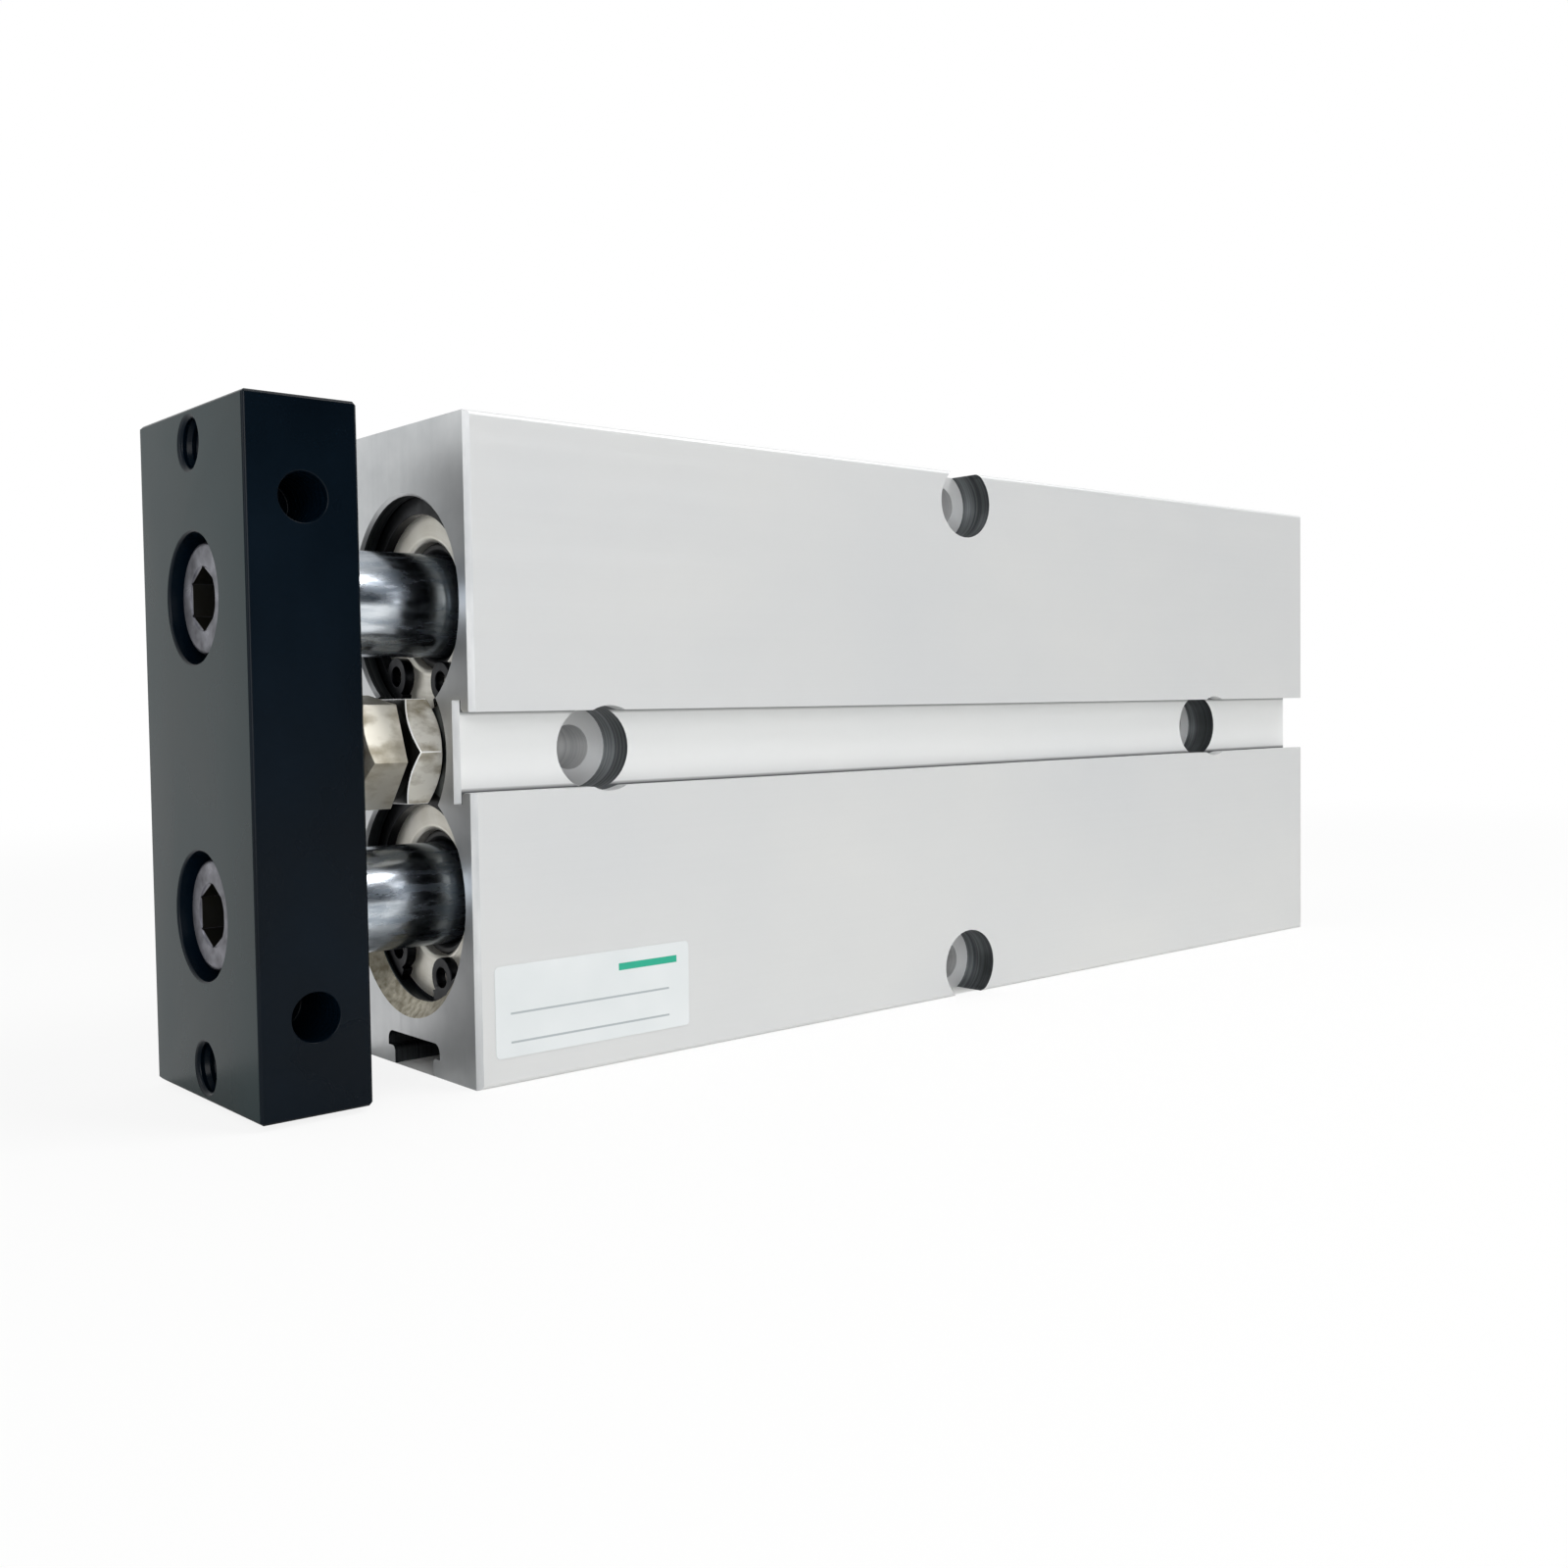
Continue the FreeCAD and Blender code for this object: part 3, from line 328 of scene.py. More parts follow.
clear_anodised = extruded_finish("clear_anodised_aluminium", "D2D3D4", "D8D8D7")[0]
# The channel floors get a much lighter copy of the finish: a painted light.
channel_painted_light, tree, shader, colour = extruded_finish(
    "sheltered_anodised_aluminium", "F1F2F2", "F5F5F4")
# A dark grey line near both lips: a painted shadow under the lips.
LIP_SHADOW_FROM = 3.35 * MM
LIP_SHADOW_WIDTH = 0.4 * MM
height = node(tree, "ShaderNodeMath", {
    0: object_axes(tree)["Z"], 1: middle}, operation="SUBTRACT").outputs[0]
height = node(tree, "ShaderNodeMath", {0: height}, operation="ABSOLUTE").outputs[0]
lip_shadow = node(tree, "ShaderNodeMapRange", {
    "Value": height, "From Min": LIP_SHADOW_FROM, "From Max": LIP_SHADOW_FROM + LIP_SHADOW_WIDTH}).outputs[0]
lip_shadowed = node(tree, "ShaderNodeMix", {
    0: lip_shadow, 6: colour, 7: linear("5C5E60")}, data_type="RGBA").outputs[2]
tree.links.new(lip_shadowed, shader.inputs["Base Color"])
print(clear_anodised.name, channel_painted_light.name)

# %% [markdown]
# The bar's ends are sawn and then faced with a cutter before the bar is anodised. That leaves a
# smoother surface than the die does, so the ends mirror what stands before them more clearly.
# The cutter's marks are fine arcs, drawn here as streaks about 0.6 mm wide.

# %% Clear anodised aluminium, milled
milled_anodised, tree, shader = new_finish("milled_anodised_aluminium", Metallic=0.8)
cutter_marks = stretched_noise(tree, (1, 0.6, 14), detail=3)
stains = stretched_noise(tree, (1, 9, 7), detail=4)
dress(tree, shader, tones(tree, stains, "B8BABC", "D2D3D4"),
      cutter_marks, 0.33, 0.43, cutter_marks, 0.002)
print(milled_anodised.name, len(tree.nodes), "nodes")

# %% [markdown]
# ** Black anodised aluminium.** The plate is milled, then dyed in the same kind of oxide layer. The dye hides the metal, so it shades like a dark plastic with a satin sheen, bluish black face on and grey where light grazes it. The front face is given a lighter grey-green colour, a painted sheen of the light that grazes it. A fine etched grain breaks the sheen up.

# %% Black anodised aluminium
black_anodised, tree, shader = new_finish(
    "black_anodised_aluminium", IOR=1.5, Specular_IOR_Level=0.12)
grain = stretched_noise(tree, (0.18, 0.18, 0.18), detail=3)
patches = stretched_noise(tree, (12, 12, 18), detail=4)
# The front face is painted lighter and greener than the sides: a painted sheen.
forward = node(tree, "ShaderNodeMath", {
    0: object_axes(tree)["X"], 1: plate_high.x - 0.02 * MM}, operation="GREATER_THAN")
dye_and_painted_sheen = node(tree, "ShaderNodeMix", {
    0: forward.outputs[0], 6: tones(tree, patches, "02080F", "030E18"),
    7: tones(tree, patches, "0F1E20", "152629")}, data_type="RGBA").outputs[2]
dress(tree, shader, dye_and_painted_sheen, patches, 0.24, 0.32, grain, 0.002)
print(black_anodised.name, len(tree.nodes), "nodes")

# %% [markdown]
# **Turned aluminium.** The covers are turned on a lathe, so their faces carry rings about the
# rod's axis. The distance from the nearer axis is worked out from Object coordinates with a few
# maths nodes, which lets one material serve both rows. The tool moved about 0.1 mm a turn, and
# the rings are drawn twice as wide to be seen.

# %% Turned aluminium
RING_WIDTH = 0.2 * MM
turned_aluminium, tree, shader = new_finish("turned_aluminium", Metallic=0.6)
axes = object_axes(tree)
height = node(tree, "ShaderNodeMath", {
    0: axes["Z"], 1: middle}, operation="SUBTRACT").outputs[0]
height = node(tree, "ShaderNodeMath", {0: height}, operation="ABSOLUTE").outputs[0]
height = node(tree, "ShaderNodeMath", {
    0: height, 1: half_pitch}, operation="SUBTRACT").outputs[0]
across = node(tree, "ShaderNodeCombineXYZ", {"X": axes["Y"], "Y": height}).outputs[0]
radius = node(tree, "ShaderNodeVectorMath", {0: across}, operation="LENGTH").outputs["Value"]
rings = node(tree, "ShaderNodeTexNoise", {
    "W": radius, "Scale": 1 / RING_WIDTH, "Detail": 1.0}, noise_dimensions="1D").outputs["Fac"]
stains = stretched_noise(tree, (3, 3, 3), detail=4)
dress(tree, shader, tones(tree, stains, "DAD5C8", "F0EDE4"), rings, 0.3, 0.46, rings, 0.004)
print(turned_aluminium.name, len(tree.nodes), "nodes")

# %% [markdown]
# ** Machined aluminium.** Bores and holes are cut after the bar is extruded, and a tool leaves fine rings on their walls. The rings lie across the hole's axis, so the finish is made once for the bores, which run along X, and again for the screw holes and their counterbores, which run along Y. The finishes of the bores and of the counterbore walls are painted dark grey, a painted shade for deep holes, while the drilled holes stay light. The cone that a form tool left round the lower front mouth is rough and a little yellow.

# %% Machined aluminium
def machined_finish(name, light, dark, ring_size_mm, depth_mm, metallic):
    """Aluminium cut by a tool, with noise of the given size in mm along x, y and z."""
    material, tree, shader = new_finish(name, Metallic=metallic)
    marks = stretched_noise(tree, ring_size_mm, detail=3)
    dress(tree, shader, tones(tree, marks, light, dark), marks, 0.34, 0.52, marks, depth_mm)
    return material


along_x = (0.3, 30, 30)
along_y = (30, 0.3, 30)
# Dark grey for the bores, the sensor slot and the spot-face: a painted shade.
bore_painted_shade = machined_finish("bore_wall_painted_shade", "5A5E60", "383B3E", along_x, 0.004, 1.0)
# Dark grey for the counterbore walls: a painted shade.
counterbore_painted_shade = machined_finish(
    "counterbore_wall_painted_shade", "7C8082", "4E5153", along_y, 0.004, 1.0)
drilled = machined_finish("drilled_aluminium", "ECECEC", "D6D7D8", along_y, 0.004, 0.4)
rough_cut = machined_finish(
    "rough_cut_aluminium", "C9C2B0", "8E8672", (0.7, 0.7, 0.7), 0.05, 0.5)
print(bore_painted_shade.name, counterbore_painted_shade.name, drilled.name, rough_cut.name)

# %% [markdown]
# ** Hard-chromed steel.** The rods are ground and plated until they are nearly mirrors, with a cold blue-grey tone. What keeps them from looking like glass is the trace of grinding round the rod and a thin film of grease that leaves cloudy smears. The seal wipes most of it off, so the smears are strong only beyond the body's end. A dark blue band is painted round each rod at the body's end, a painted dark reflection.

# %% Hard-chromed steel
hard_chrome, tree, shader = new_finish("hard_chromed_steel", Metallic=1.0)
grinding = stretched_noise(tree, (0.12, 40, 40))
grease = stretched_noise(tree, (5, 1.1, 1.1), detail=6, roughness=0.6)
film = node(tree, "ShaderNodeMapRange", {
    "Value": grease, "From Min": 0.4, "From Max": 0.66}).outputs[0]
along = object_axes(tree)["X"]
past_end = node(tree, "ShaderNodeMapRange", {
    "Value": along, "From Min": body_high.x + 0.5 * MM, "From Max": body_high.x + 5 * MM,
    "To Min": 0.6, "To Max": 0}).outputs[0]
near_end = node(tree, "ShaderNodeMapRange", {
    "Value": along, "From Min": body_high.x - 14 * MM, "From Max": body_high.x - 4 * MM,
}).outputs[0]
smeared = node(tree, "ShaderNodeMapRange", {"Value": near_end, "To Min": 0.3}).outputs[0]
film = node(tree, "ShaderNodeMath", {0: film, 1: smeared}, operation="MULTIPLY").outputs[0]
# A dark blue band round the rod near the body's end: a painted dark reflection.
ring = node(tree, "ShaderNodeMath", {
    0: past_end, 1: near_end}, operation="MULTIPLY").outputs[0]
chrome = node(tree, "ShaderNodeMix", {
    0: ring, 6: tones(tree, film, "DCE1E7", "ACB6C2", start=0, end=1),
    7: linear("44566A")}, data_type="RGBA").outputs[2]
surface = node(tree, "ShaderNodeMath", {
    0: grinding, 1: 0.05, 2: grease}, operation="MULTIPLY_ADD").outputs[0]
dress(tree, shader, chrome, film, 0.15, 0.36, surface, 0.013, start=0, end=1)
print(hard_chrome.name, len(tree.nodes), "nodes")

# %% [markdown]
# ** Dull nickel plate.** The stop screw and its nut are plated with nickel, a slightly yellow metal. Handling has left brown-grey stains a few millimetres wide, and the rolled bar's skin shows through as a soft unevenness. The nut's flats take a lighter and less metallic copy of the plate, a painted light, and its bevel edges a near-white copy, a painted highlight.

# %% Dull nickel plate
def nickel_finish(name, clean, stained, metallic):
    """Nickel plate with soft stains."""
    material, tree, shader = new_finish(name, Metallic=metallic)
    stains = stretched_noise(tree, (3.2, 2.2, 2.2), detail=4)
    skin = stretched_noise(tree, (0.8, 0.8, 0.8), detail=2)
    dress(tree, shader, tones(tree, stains, clean, stained, start=0.48, end=0.68),
          stains, 0.34, 0.48, skin, 0.002, start=0.48, end=0.68)
    return material


dull_nickel = nickel_finish("nickel_plated_steel", "E8E3D6", "B5AC98", 0.75)
# A lighter, less metallic copy for the nut's flats: a painted light.
nickel_painted_light = nickel_finish("nickel_plated_steel_painted_light", "FBF8EE", "A89F8B", 0.35)
# Near white for the nut's bevel edges: a painted highlight.
nickel_painted_highlight = nickel_finish("burnished_nickel_plated_steel", "FFFFFF", "FFFDF6", 0.1)
print(dull_nickel.name, nickel_painted_light.name, nickel_painted_highlight.name)

# %% [markdown]
# **Black oxide on steel.** Screws and retaining rings are blackened in a hot salt bath and oiled.
# The layer is thin, so they stay a dark metal and don't turn into black paint. The screw heads
# take a lighter copy of the oxide, a painted sheen. The faces in the gap between the stop screw's
# head and its nut, and the sockets of the screws, are painted near black, a painted shade.

# %% Black oxide on steel
def oxide_finish(name, light, dark, metallic):
    """Dark metal with an uneven film of oil."""
    material, tree, shader = new_finish(name, Metallic=metallic)
    oil = stretched_noise(tree, (1.6, 1.6, 1.6), detail=4)
    scale_grain = stretched_noise(tree, (0.15, 0.15, 0.15))
    dress(tree, shader, tones(tree, oil, light, dark), oil, 0.26, 0.42, scale_grain, 0.003)
    return material


black_oxide = oxide_finish("black_oxide_steel", "222326", "151619", 1.0)
# A lighter copy of the oxide for the screw heads: a painted sheen.
oxide_painted_sheen = oxide_finish("rubbed_black_oxide_steel", "707078", "404046", 0.9)
# Near black for gaps and sockets: a painted shade.
steel_painted_shade = oxide_finish("near_black_steel_painted_shade", "14130F", "0A0A08", 0.2)
print(black_oxide.name, oxide_painted_sheen.name, steel_painted_shade.name)

# %% [markdown]
# The other finishes are on pieces that hardly show: rubber seals, plastic rings, a bronze bush
# and the magnet. They still get a colour that varies, a roughness and a grain, so they hold up
# when the cylinder is taken apart. One function makes them all, because they differ only in
# those numbers.

# %% Finishes of the seals, bushes and bumpers
def grained_finish(name, first, second, roughness, grain_mm, depth_mm, **plain):
    """A finish of two close colours with an even grain."""
    material, tree, shader = new_finish(name, **plain)
    cells = stretched_noise(tree, (grain_mm,) * 3, detail=3)
    patches = stretched_noise(tree, (grain_mm * 8,) * 3, detail=2)
    dress(tree, shader, tones(tree, cells, first, second),
          patches, roughness - 0.06, roughness + 0.06, cells, depth_mm)
    return material


nitrile_rubber = grained_finish(
    "nitrile_rubber", "101011", "18181A", 0.5, 0.3, 0.004, IOR=1.52)
urethane = grained_finish("urethane", "15161A", "1D1F24", 0.36, 0.5, 0.003, IOR=1.5)
acetal = grained_finish("acetal", "E4E1D6", "D8D4C8", 0.4, 0.6, 0.004, IOR=1.48)
bronze = grained_finish(
    "sintered_bronze", "A8824A", "7C5E34", 0.48, 0.12, 0.01, Metallic=1.0)
bonded_magnet = grained_finish(
    "bonded_magnet", "2A2723", "37332E", 0.55, 0.1, 0.006, IOR=1.5)
finish_of_slot = {
    "clear_anodised_aluminium": clear_anodised, "black_anodised_aluminium": black_anodised,
    "turned_aluminium": turned_aluminium, "hard_chromed_steel": hard_chrome,
    "nickel_plated_steel": dull_nickel, "black_oxide_steel": black_oxide,
    "nitrile_rubber": nitrile_rubber, "urethane": urethane, "acetal": acetal,
    "sintered_bronze": bronze, "bonded_magnet": bonded_magnet,
}
slot_of_node = {part["node"]: part["material_slot"] for part in frame["record"]["subparts"]}
for name, cad_node in frame["nodes"].items():
    cad_node.data.materials.clear()
    cad_node.data.materials.append(finish_of_slot[slot_of_node[name]])
print("finishes on", len(slot_of_node), "nodes")

# %% [markdown]
# ## Ways of working
#
# The CAD nodes already have the right shapes, but a CAD mesh is loose triangles with facets
# round each bore and razor-sharp edges. Real edges are slightly broken and catch the light. So
# the pieces that show are made again, each by the way that suits its form:
#
# * a turned part starts as a circle that is extruded and scaled along its axis, as a lathe
#   would form it;
# * a milled part starts as a cube, and cutters are taken out of it with Boolean modifiers;
# * a shape that is right but rough is copied from the CAD node, and its triangles are merged.
#
# All of them end with a small bevel and smoothed normals.

# %% Helpers for selecting and finishing
DOUBLED = 0.0005 * MM


def choose(piece):
    """Select only this object, and make it active."""
    bpy.ops.object.select_all(action="DESELECT")
    piece.select_set(True)
    bpy.context.view_layer.objects.active = piece


def settle(piece):
    """Put the object's place, turn and size into its mesh."""
    choose(piece)
    bpy.ops.object.transform_apply(location=True, rotation=True, scale=True)


def tidy_mesh(piece):
    """Merge doubled corners and make every face point outwards."""
    choose(piece)
    bpy.ops.object.mode_set(mode="EDIT")
    bpy.ops.mesh.select_all(action="SELECT")
    bpy.ops.mesh.remove_doubles(threshold=DOUBLED)
    bpy.ops.mesh.normals_make_consistent(inside=False)
    bpy.ops.object.mode_set(mode="OBJECT")


def soften(piece, width_mm, steps=2, sharper_than=35):
    """Break the sharp edges with a bevel, and keep the flat faces flat in the light."""
    choose(piece)
    bevel = piece.modifiers.new("broken_edges", "BEVEL")
    bevel.width = width_mm * MM
    bevel.segments = steps
    bevel.limit_method = "ANGLE"
    bevel.angle_limit = math.radians(sharper_than)
    bevel.miter_outer = "MITER_ARC"
    bpy.ops.object.modifier_apply(modifier=bevel.name)
    bpy.ops.object.shade_smooth_by_angle(angle=math.radians(sharper_than))
    weighted = piece.modifiers.new("flat_faces", "WEIGHTED_NORMAL")
    weighted.keep_sharp = True
    bpy.ops.object.modifier_apply(modifier=weighted.name)


def hand_over(piece, slot, body, node_name):
    """Give a piece its finish, the body that it moves with and the node that it replaces."""
    piece.data.materials.clear()
    piece.data.materials.append(finish_of_slot[slot])
    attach(piece, body)
    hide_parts(node_name)
    print(piece.name, len(piece.data.polygons), "faces")


def hand_over_pair(piece, slot, body, node_name):
    """Hand over a piece of the upper row and its copy in the lower row."""
    choose(piece)
    bpy.ops.object.duplicate(linked=False)
    twin = bpy.context.object
    twin.name = piece.name.replace("upper", "lower")
    twin.location.z = lower_axis - upper_axis
    settle(twin)
    hand_over(twin, slot, body, f"{node_name}_lower")
    hand_over(piece, slot, body, f"{node_name}_upper")


print("corners nearer than", round(DOUBLED / MM, 4), "mm are merged")

# %% [markdown]
# The lathe helper draws a turned part from stations along its axis, each a place and a radius.
# It starts with a circle, and each next station is one extrusion and one scaling. A solid part
# starts with a filled circle. A ring starts with an open one, and its last station comes back to
# the first, where the doubled corners merge.

# %% A lathe for turned parts
ROUND = 96


def turn(name, stations, axis_z=0.0, ring=False, sides=ROUND):
    """A part turned about a line along X at the given height."""
    x, radius = stations[0]
    bpy.ops.object.select_all(action="DESELECT")
    bpy.ops.mesh.primitive_circle_add(
        vertices=sides, radius=radius, fill_type="NOTHING" if ring else "NGON",
        location=(x, 0, axis_z), rotation=(0, math.pi / 2, 0))
    piece = bpy.context.object
    piece.name = name
    settle(piece)
    bpy.ops.object.mode_set(mode="EDIT")
    bpy.ops.mesh.select_all(action="SELECT")
    for next_x, next_radius in stations[1:] + (stations[:1] if ring else []):
        bpy.ops.mesh.extrude_region_move(
            TRANSFORM_OT_translate={"value": (next_x - x, 0, 0)})
        growth = next_radius / radius
        bpy.ops.transform.resize(
            value=(1, growth, growth), center_override=(next_x, 0, axis_z))
        x, radius = next_x, next_radius
    bpy.ops.object.mode_set(mode="OBJECT")
    tidy_mesh(piece)
    return piece


def thread(start, end, pitch, minor, major):
    """Stations of a thread drawn as rings, from one place to another."""
    count = int(abs(end - start) / pitch)
    step = (end - start) / count
    stations = []
    for i in range(count):
        stations += [(start + i * step, minor), (start + (i + 0.5) * step, major)]
    return stations + [(end, minor)]


print("turned parts have", ROUND, "sides")

# %% [markdown]
# Cutters are turned or built like any piece, used once, and thrown away. A Boolean modifier with
# the exact solver takes one out of a piece, or keeps only what the two share. A cutter reaches
# a little past the face that it goes through, because faces that coincide confuse the solver.

# %% Cutting one piece with another
def cut(piece, cutter, operation="DIFFERENCE"):
    """Use a cutter on a piece, then remove the cutter."""
    choose(piece)
    boolean = piece.modifiers.new("cut", "BOOLEAN")
    boolean.operation = operation
    boolean.solver = "EXACT"
    boolean.object = cutter
    bpy.ops.object.modifier_apply(modifier=boolean.name)
    bpy.data.objects.remove(cutter)


CLEAR = 0.5 * MM
print("cutters reach", CLEAR / MM, "mm past a face")

# %% [markdown]
# ## The body
#
# The body is a length of extrusion with two bores, a long channel in each wide face, a sensor
# slot underneath and holes across. It could be cut from a cube again, but the CAD node has all
# of that already. A copy is merged, its flat faces are made whole, and a small bevel breaks the
# edges.

# %% The extruded body
def merged_copy(node_name, name):
    """A copy of a CAD node's mesh, with its triangles merged into whole flat faces."""
    piece = bpy.data.objects.new(name, frame["nodes"][node_name].data.copy())
    bpy.context.scene.collection.objects.link(piece)
    choose(piece)
    bpy.ops.object.mode_set(mode="EDIT")
    bpy.ops.mesh.select_all(action="SELECT")
    bpy.ops.mesh.remove_doubles(threshold=DOUBLED)
    bpy.ops.mesh.dissolve_limited(angle_limit=math.radians(0.5))
    bpy.ops.object.mode_set(mode="OBJECT")
    return piece


extrusion = merged_copy("body", "extruded_body")
soften(extrusion, 0.12)
hand_over(extrusion, "clear_anodised_aluminium", "barrel", "body")

# %% [markdown]
# The skin of the extrusion is anodised, but the holes are cut. Each face is given its finish by
# its place: in a screw hole or its counterbore, in a bore, the sensor slot or the round spot-face
# for the nut, on the floor of a channel, on the rough cone of the lower mouth, on a milled end
# with its edge, or on the skin. The walls of the bores, the sensor slot, the spot-face and the
# counterbores take dark finishes, a painted shade, and the channel floors a lighter one, a
# painted light.

# %% Where the body is cut
EDGE = 0.02 * MM
CHANNEL_DEPTH = 3 * MM
CHANNEL_REACH = 5 * MM
FLOOR_BAND = 0.2 * MM
FRONT_HOLE = 15 * MM
REAR_HOLE = 23 * MM
EDGE_HOLE_SHIFT = 4 * MM
EDGE_HOLE_REACH = 27.5 * MM
HOLE_REACH = 4.3 * MM
SCREW_HOLE = 3 * MM
BORE_REACH = 11 * MM
MOUTH_CHAMFER = 0.3 * MM
CONE_DEPTH = 1.2 * MM
CONE_REACH = 12 * MM
SPOT_REACH = 7.9 * MM
SPOT_DEPTH = 1.3 * MM
SLOT_REACH = 5.3 * MM
SLOT_DEPTH = 3.3 * MM
SAWN_EDGE = 0.6 * MM

skin_depth = body_high.y - EDGE
channel_floor = body_high.y - CHANNEL_DEPTH - EDGE
hole_middle = body_centre + EDGE_HOLE_SHIFT
screw_holes = (
    (body_high.x - FRONT_HOLE, middle, channel_floor),
    (body_low.x + REAR_HOLE, middle, channel_floor),
    (hole_middle, middle + EDGE_HOLE_REACH, skin_depth),
    (hole_middle, middle - EDGE_HOLE_REACH, skin_depth),
)
cover_low, cover_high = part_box("front_cover_upper")
cover_radius = (cover_high.z - cover_low.z) / 2
print(len(screw_holes), "screw holes, covers", round(2 * cover_radius / MM, 1), "mm across")

# %% The finishes of the body's cut faces
finishes = (
    clear_anodised, bore_painted_shade, drilled, rough_cut, milled_anodised, counterbore_painted_shade, channel_painted_light)
SKIN, BORE_PAINTED_SHADE, DRILLED, ROUGH_CUT, MILLED, COUNTERBORE_PAINTED_SHADE, CHANNEL_PAINTED_LIGHT = range(len(finishes))
for finish in finishes[1:]:
    extrusion.data.materials.append(finish)


def hole_finish(place, normal):
    """The number of the finish for a face of the body, from its middle and its normal."""
    for x, z, depth in screw_holes:
        from_axis = math.hypot(place.x - x, place.z - z)
        if from_axis < HOLE_REACH and abs(place.y) < depth:
            # Counterbore walls take a dark finish: a painted shade.
            wall = from_axis > SCREW_HOLE and abs(normal.y) < 0.5
            return COUNTERBORE_PAINTED_SHADE if wall else DRILLED
    from_end = min(body_high.x - place.x, place.x - body_low.x)
    from_front = body_high.x - place.x
    from_middle = abs(place.z - middle)
    across = abs(place.y)
    # The spot-face, the sensor slot and the bores take the dark finish: a painted shade.
    if math.hypot(across, from_middle) < SPOT_REACH and EDGE < from_front < SPOT_DEPTH:
        return BORE_PAINTED_SHADE
    in_slot = EDGE < place.z - body_low.z < SLOT_DEPTH and across < SLOT_REACH
    if in_slot and from_end > EDGE:
        return BORE_PAINTED_SHADE
    # Channel floors take the lighter finish: a painted light.
    in_channel = channel_floor < across < channel_floor + FLOOR_BAND
    if in_channel and from_middle < CHANNEL_REACH and from_end > SAWN_EDGE:
        return CHANNEL_PAINTED_LIGHT
    for axis_z in (upper_axis, lower_axis):
        radius = math.hypot(across, place.z - axis_z)
        on_cone = cover_radius + 0.1 * MM < radius < CONE_REACH and place.z < axis_z
        if axis_z == lower_axis and on_cone and EDGE < from_front < CONE_DEPTH:
            return ROUGH_CUT
        if radius < BORE_REACH and from_end > MOUTH_CHAMFER:
            return BORE_PAINTED_SHADE
    return MILLED if from_end < SAWN_EDGE else SKIN


for face in extrusion.data.polygons:
    face.material_index = hole_finish(face.center, face.normal)
for number, finish in enumerate(finishes):
    count = sum(face.material_index == number for face in extrusion.data.polygons)
    print(finish.name, "on", count, "faces")

# %% [markdown]
# ## The end plate
#
# The plate is milled from bar. It starts as a cube at its size, with chamfered edges. Two
# stepped cutters make the counterbores for the rod screws, with a small chamfer round each
# mouth. The tapped holes are cut with one threaded cutter, which is copied and turned to each
# place.

# %% A cutter for tapped holes
TAP_MINOR = 2.1 * MM
TAP_MAJOR = 2.45 * MM
TAP_PITCH = 0.8 * MM


def tap_cutter(name, mouth, direction, depth, mouth_radius):
    """A threaded cutter with a chamfered mouth that faces the given way."""
    lead = TAP_MAJOR - TAP_MINOR
    stations = [(CLEAR, mouth_radius + lead), (0, mouth_radius)]
    stations += thread(-lead, -depth, TAP_PITCH, TAP_MINOR, TAP_MAJOR)
    cutter = turn(name, stations, sides=48)
    cutter.rotation_euler = Vector(direction).to_track_quat("X", "Z").to_euler()
    cutter.location = mouth
    settle(cutter)
    return cutter


print("tap cutter: minor", TAP_MINOR / MM, "major", TAP_MAJOR / MM)

# %% The milled plate
PLATE_CHAMFER = 0.3 * MM
plate_size = plate_high - plate_low
plate_middle = (plate_high + plate_low) / 2
bpy.ops.object.select_all(action="DESELECT")
bpy.ops.mesh.primitive_cube_add(size=1, location=plate_middle, scale=plate_size)
plate = bpy.context.object
plate.name = "milled_plate"
settle(plate)
bpy.ops.object.mode_set(mode="EDIT")
bpy.ops.mesh.select_all(action="SELECT")
bpy.ops.mesh.bevel(offset=PLATE_CHAMFER, segments=1)
bpy.ops.object.mode_set(mode="OBJECT")
print("plate", [round(side / MM, 1) for side in plate_size], "mm")

# %% The plate's holes
HEAD_ROOM = 0.7 * MM
RIM = 0.25 * MM
HEAD_HEIGHT = 6 * MM
CLEARANCE_HOLE = 3.2 * MM
LOAD_REACH = 27.5 * MM
SIDE_REACH = 22 * MM
SIDE_DEPTH = 8 * MM
TAP_RIM = 0.1 * MM
PAD_HOLE = 3.02 * MM

cap_low, cap_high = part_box("plate_screw_upper")
cap_radius = (cap_high.z - cap_low.z) / 2
cap_seat = cap_high.x - HEAD_HEIGHT
bore = cap_radius + HEAD_ROOM
for axis_z in (upper_axis, lower_axis):
    cut(plate, turn("counterbore_cutter", [
        (plate_high.x + CLEAR, bore + RIM + CLEAR), (plate_high.x - RIM, bore),
        (cap_seat, bore), (cap_seat, CLEARANCE_HOLE), (plate_low.x - CLEAR, CLEARANCE_HOLE),
    ], axis_z))
for side in (-1, 1):
    mouth = (plate_high.x, 0, middle + side * LOAD_REACH)
    cut(plate, tap_cutter(
        "front_tap", mouth, (1, 0, 0), plate_size.x + CLEAR, TAP_MAJOR + TAP_RIM))
    for height in (-SIDE_REACH, SIDE_REACH):
        mouth = (plate_middle.x, side * plate_high.y, middle + height)
        cut(plate, tap_cutter(
            "side_tap", mouth, (0, side, 0), SIDE_DEPTH, TAP_MINOR + TAP_RIM))
pad_low, pad_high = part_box("plate_bumper")
cut(plate, turn("pad_cutter", [
    (plate_low.x - CLEAR, PAD_HOLE), (pad_high.x + 0.02 * MM, PAD_HOLE)], middle))
tidy_mesh(plate)
soften(plate, 0.06, steps=1, sharper_than=50)
hand_over(plate, "black_anodised_aluminium", "carriage", "end_plate")

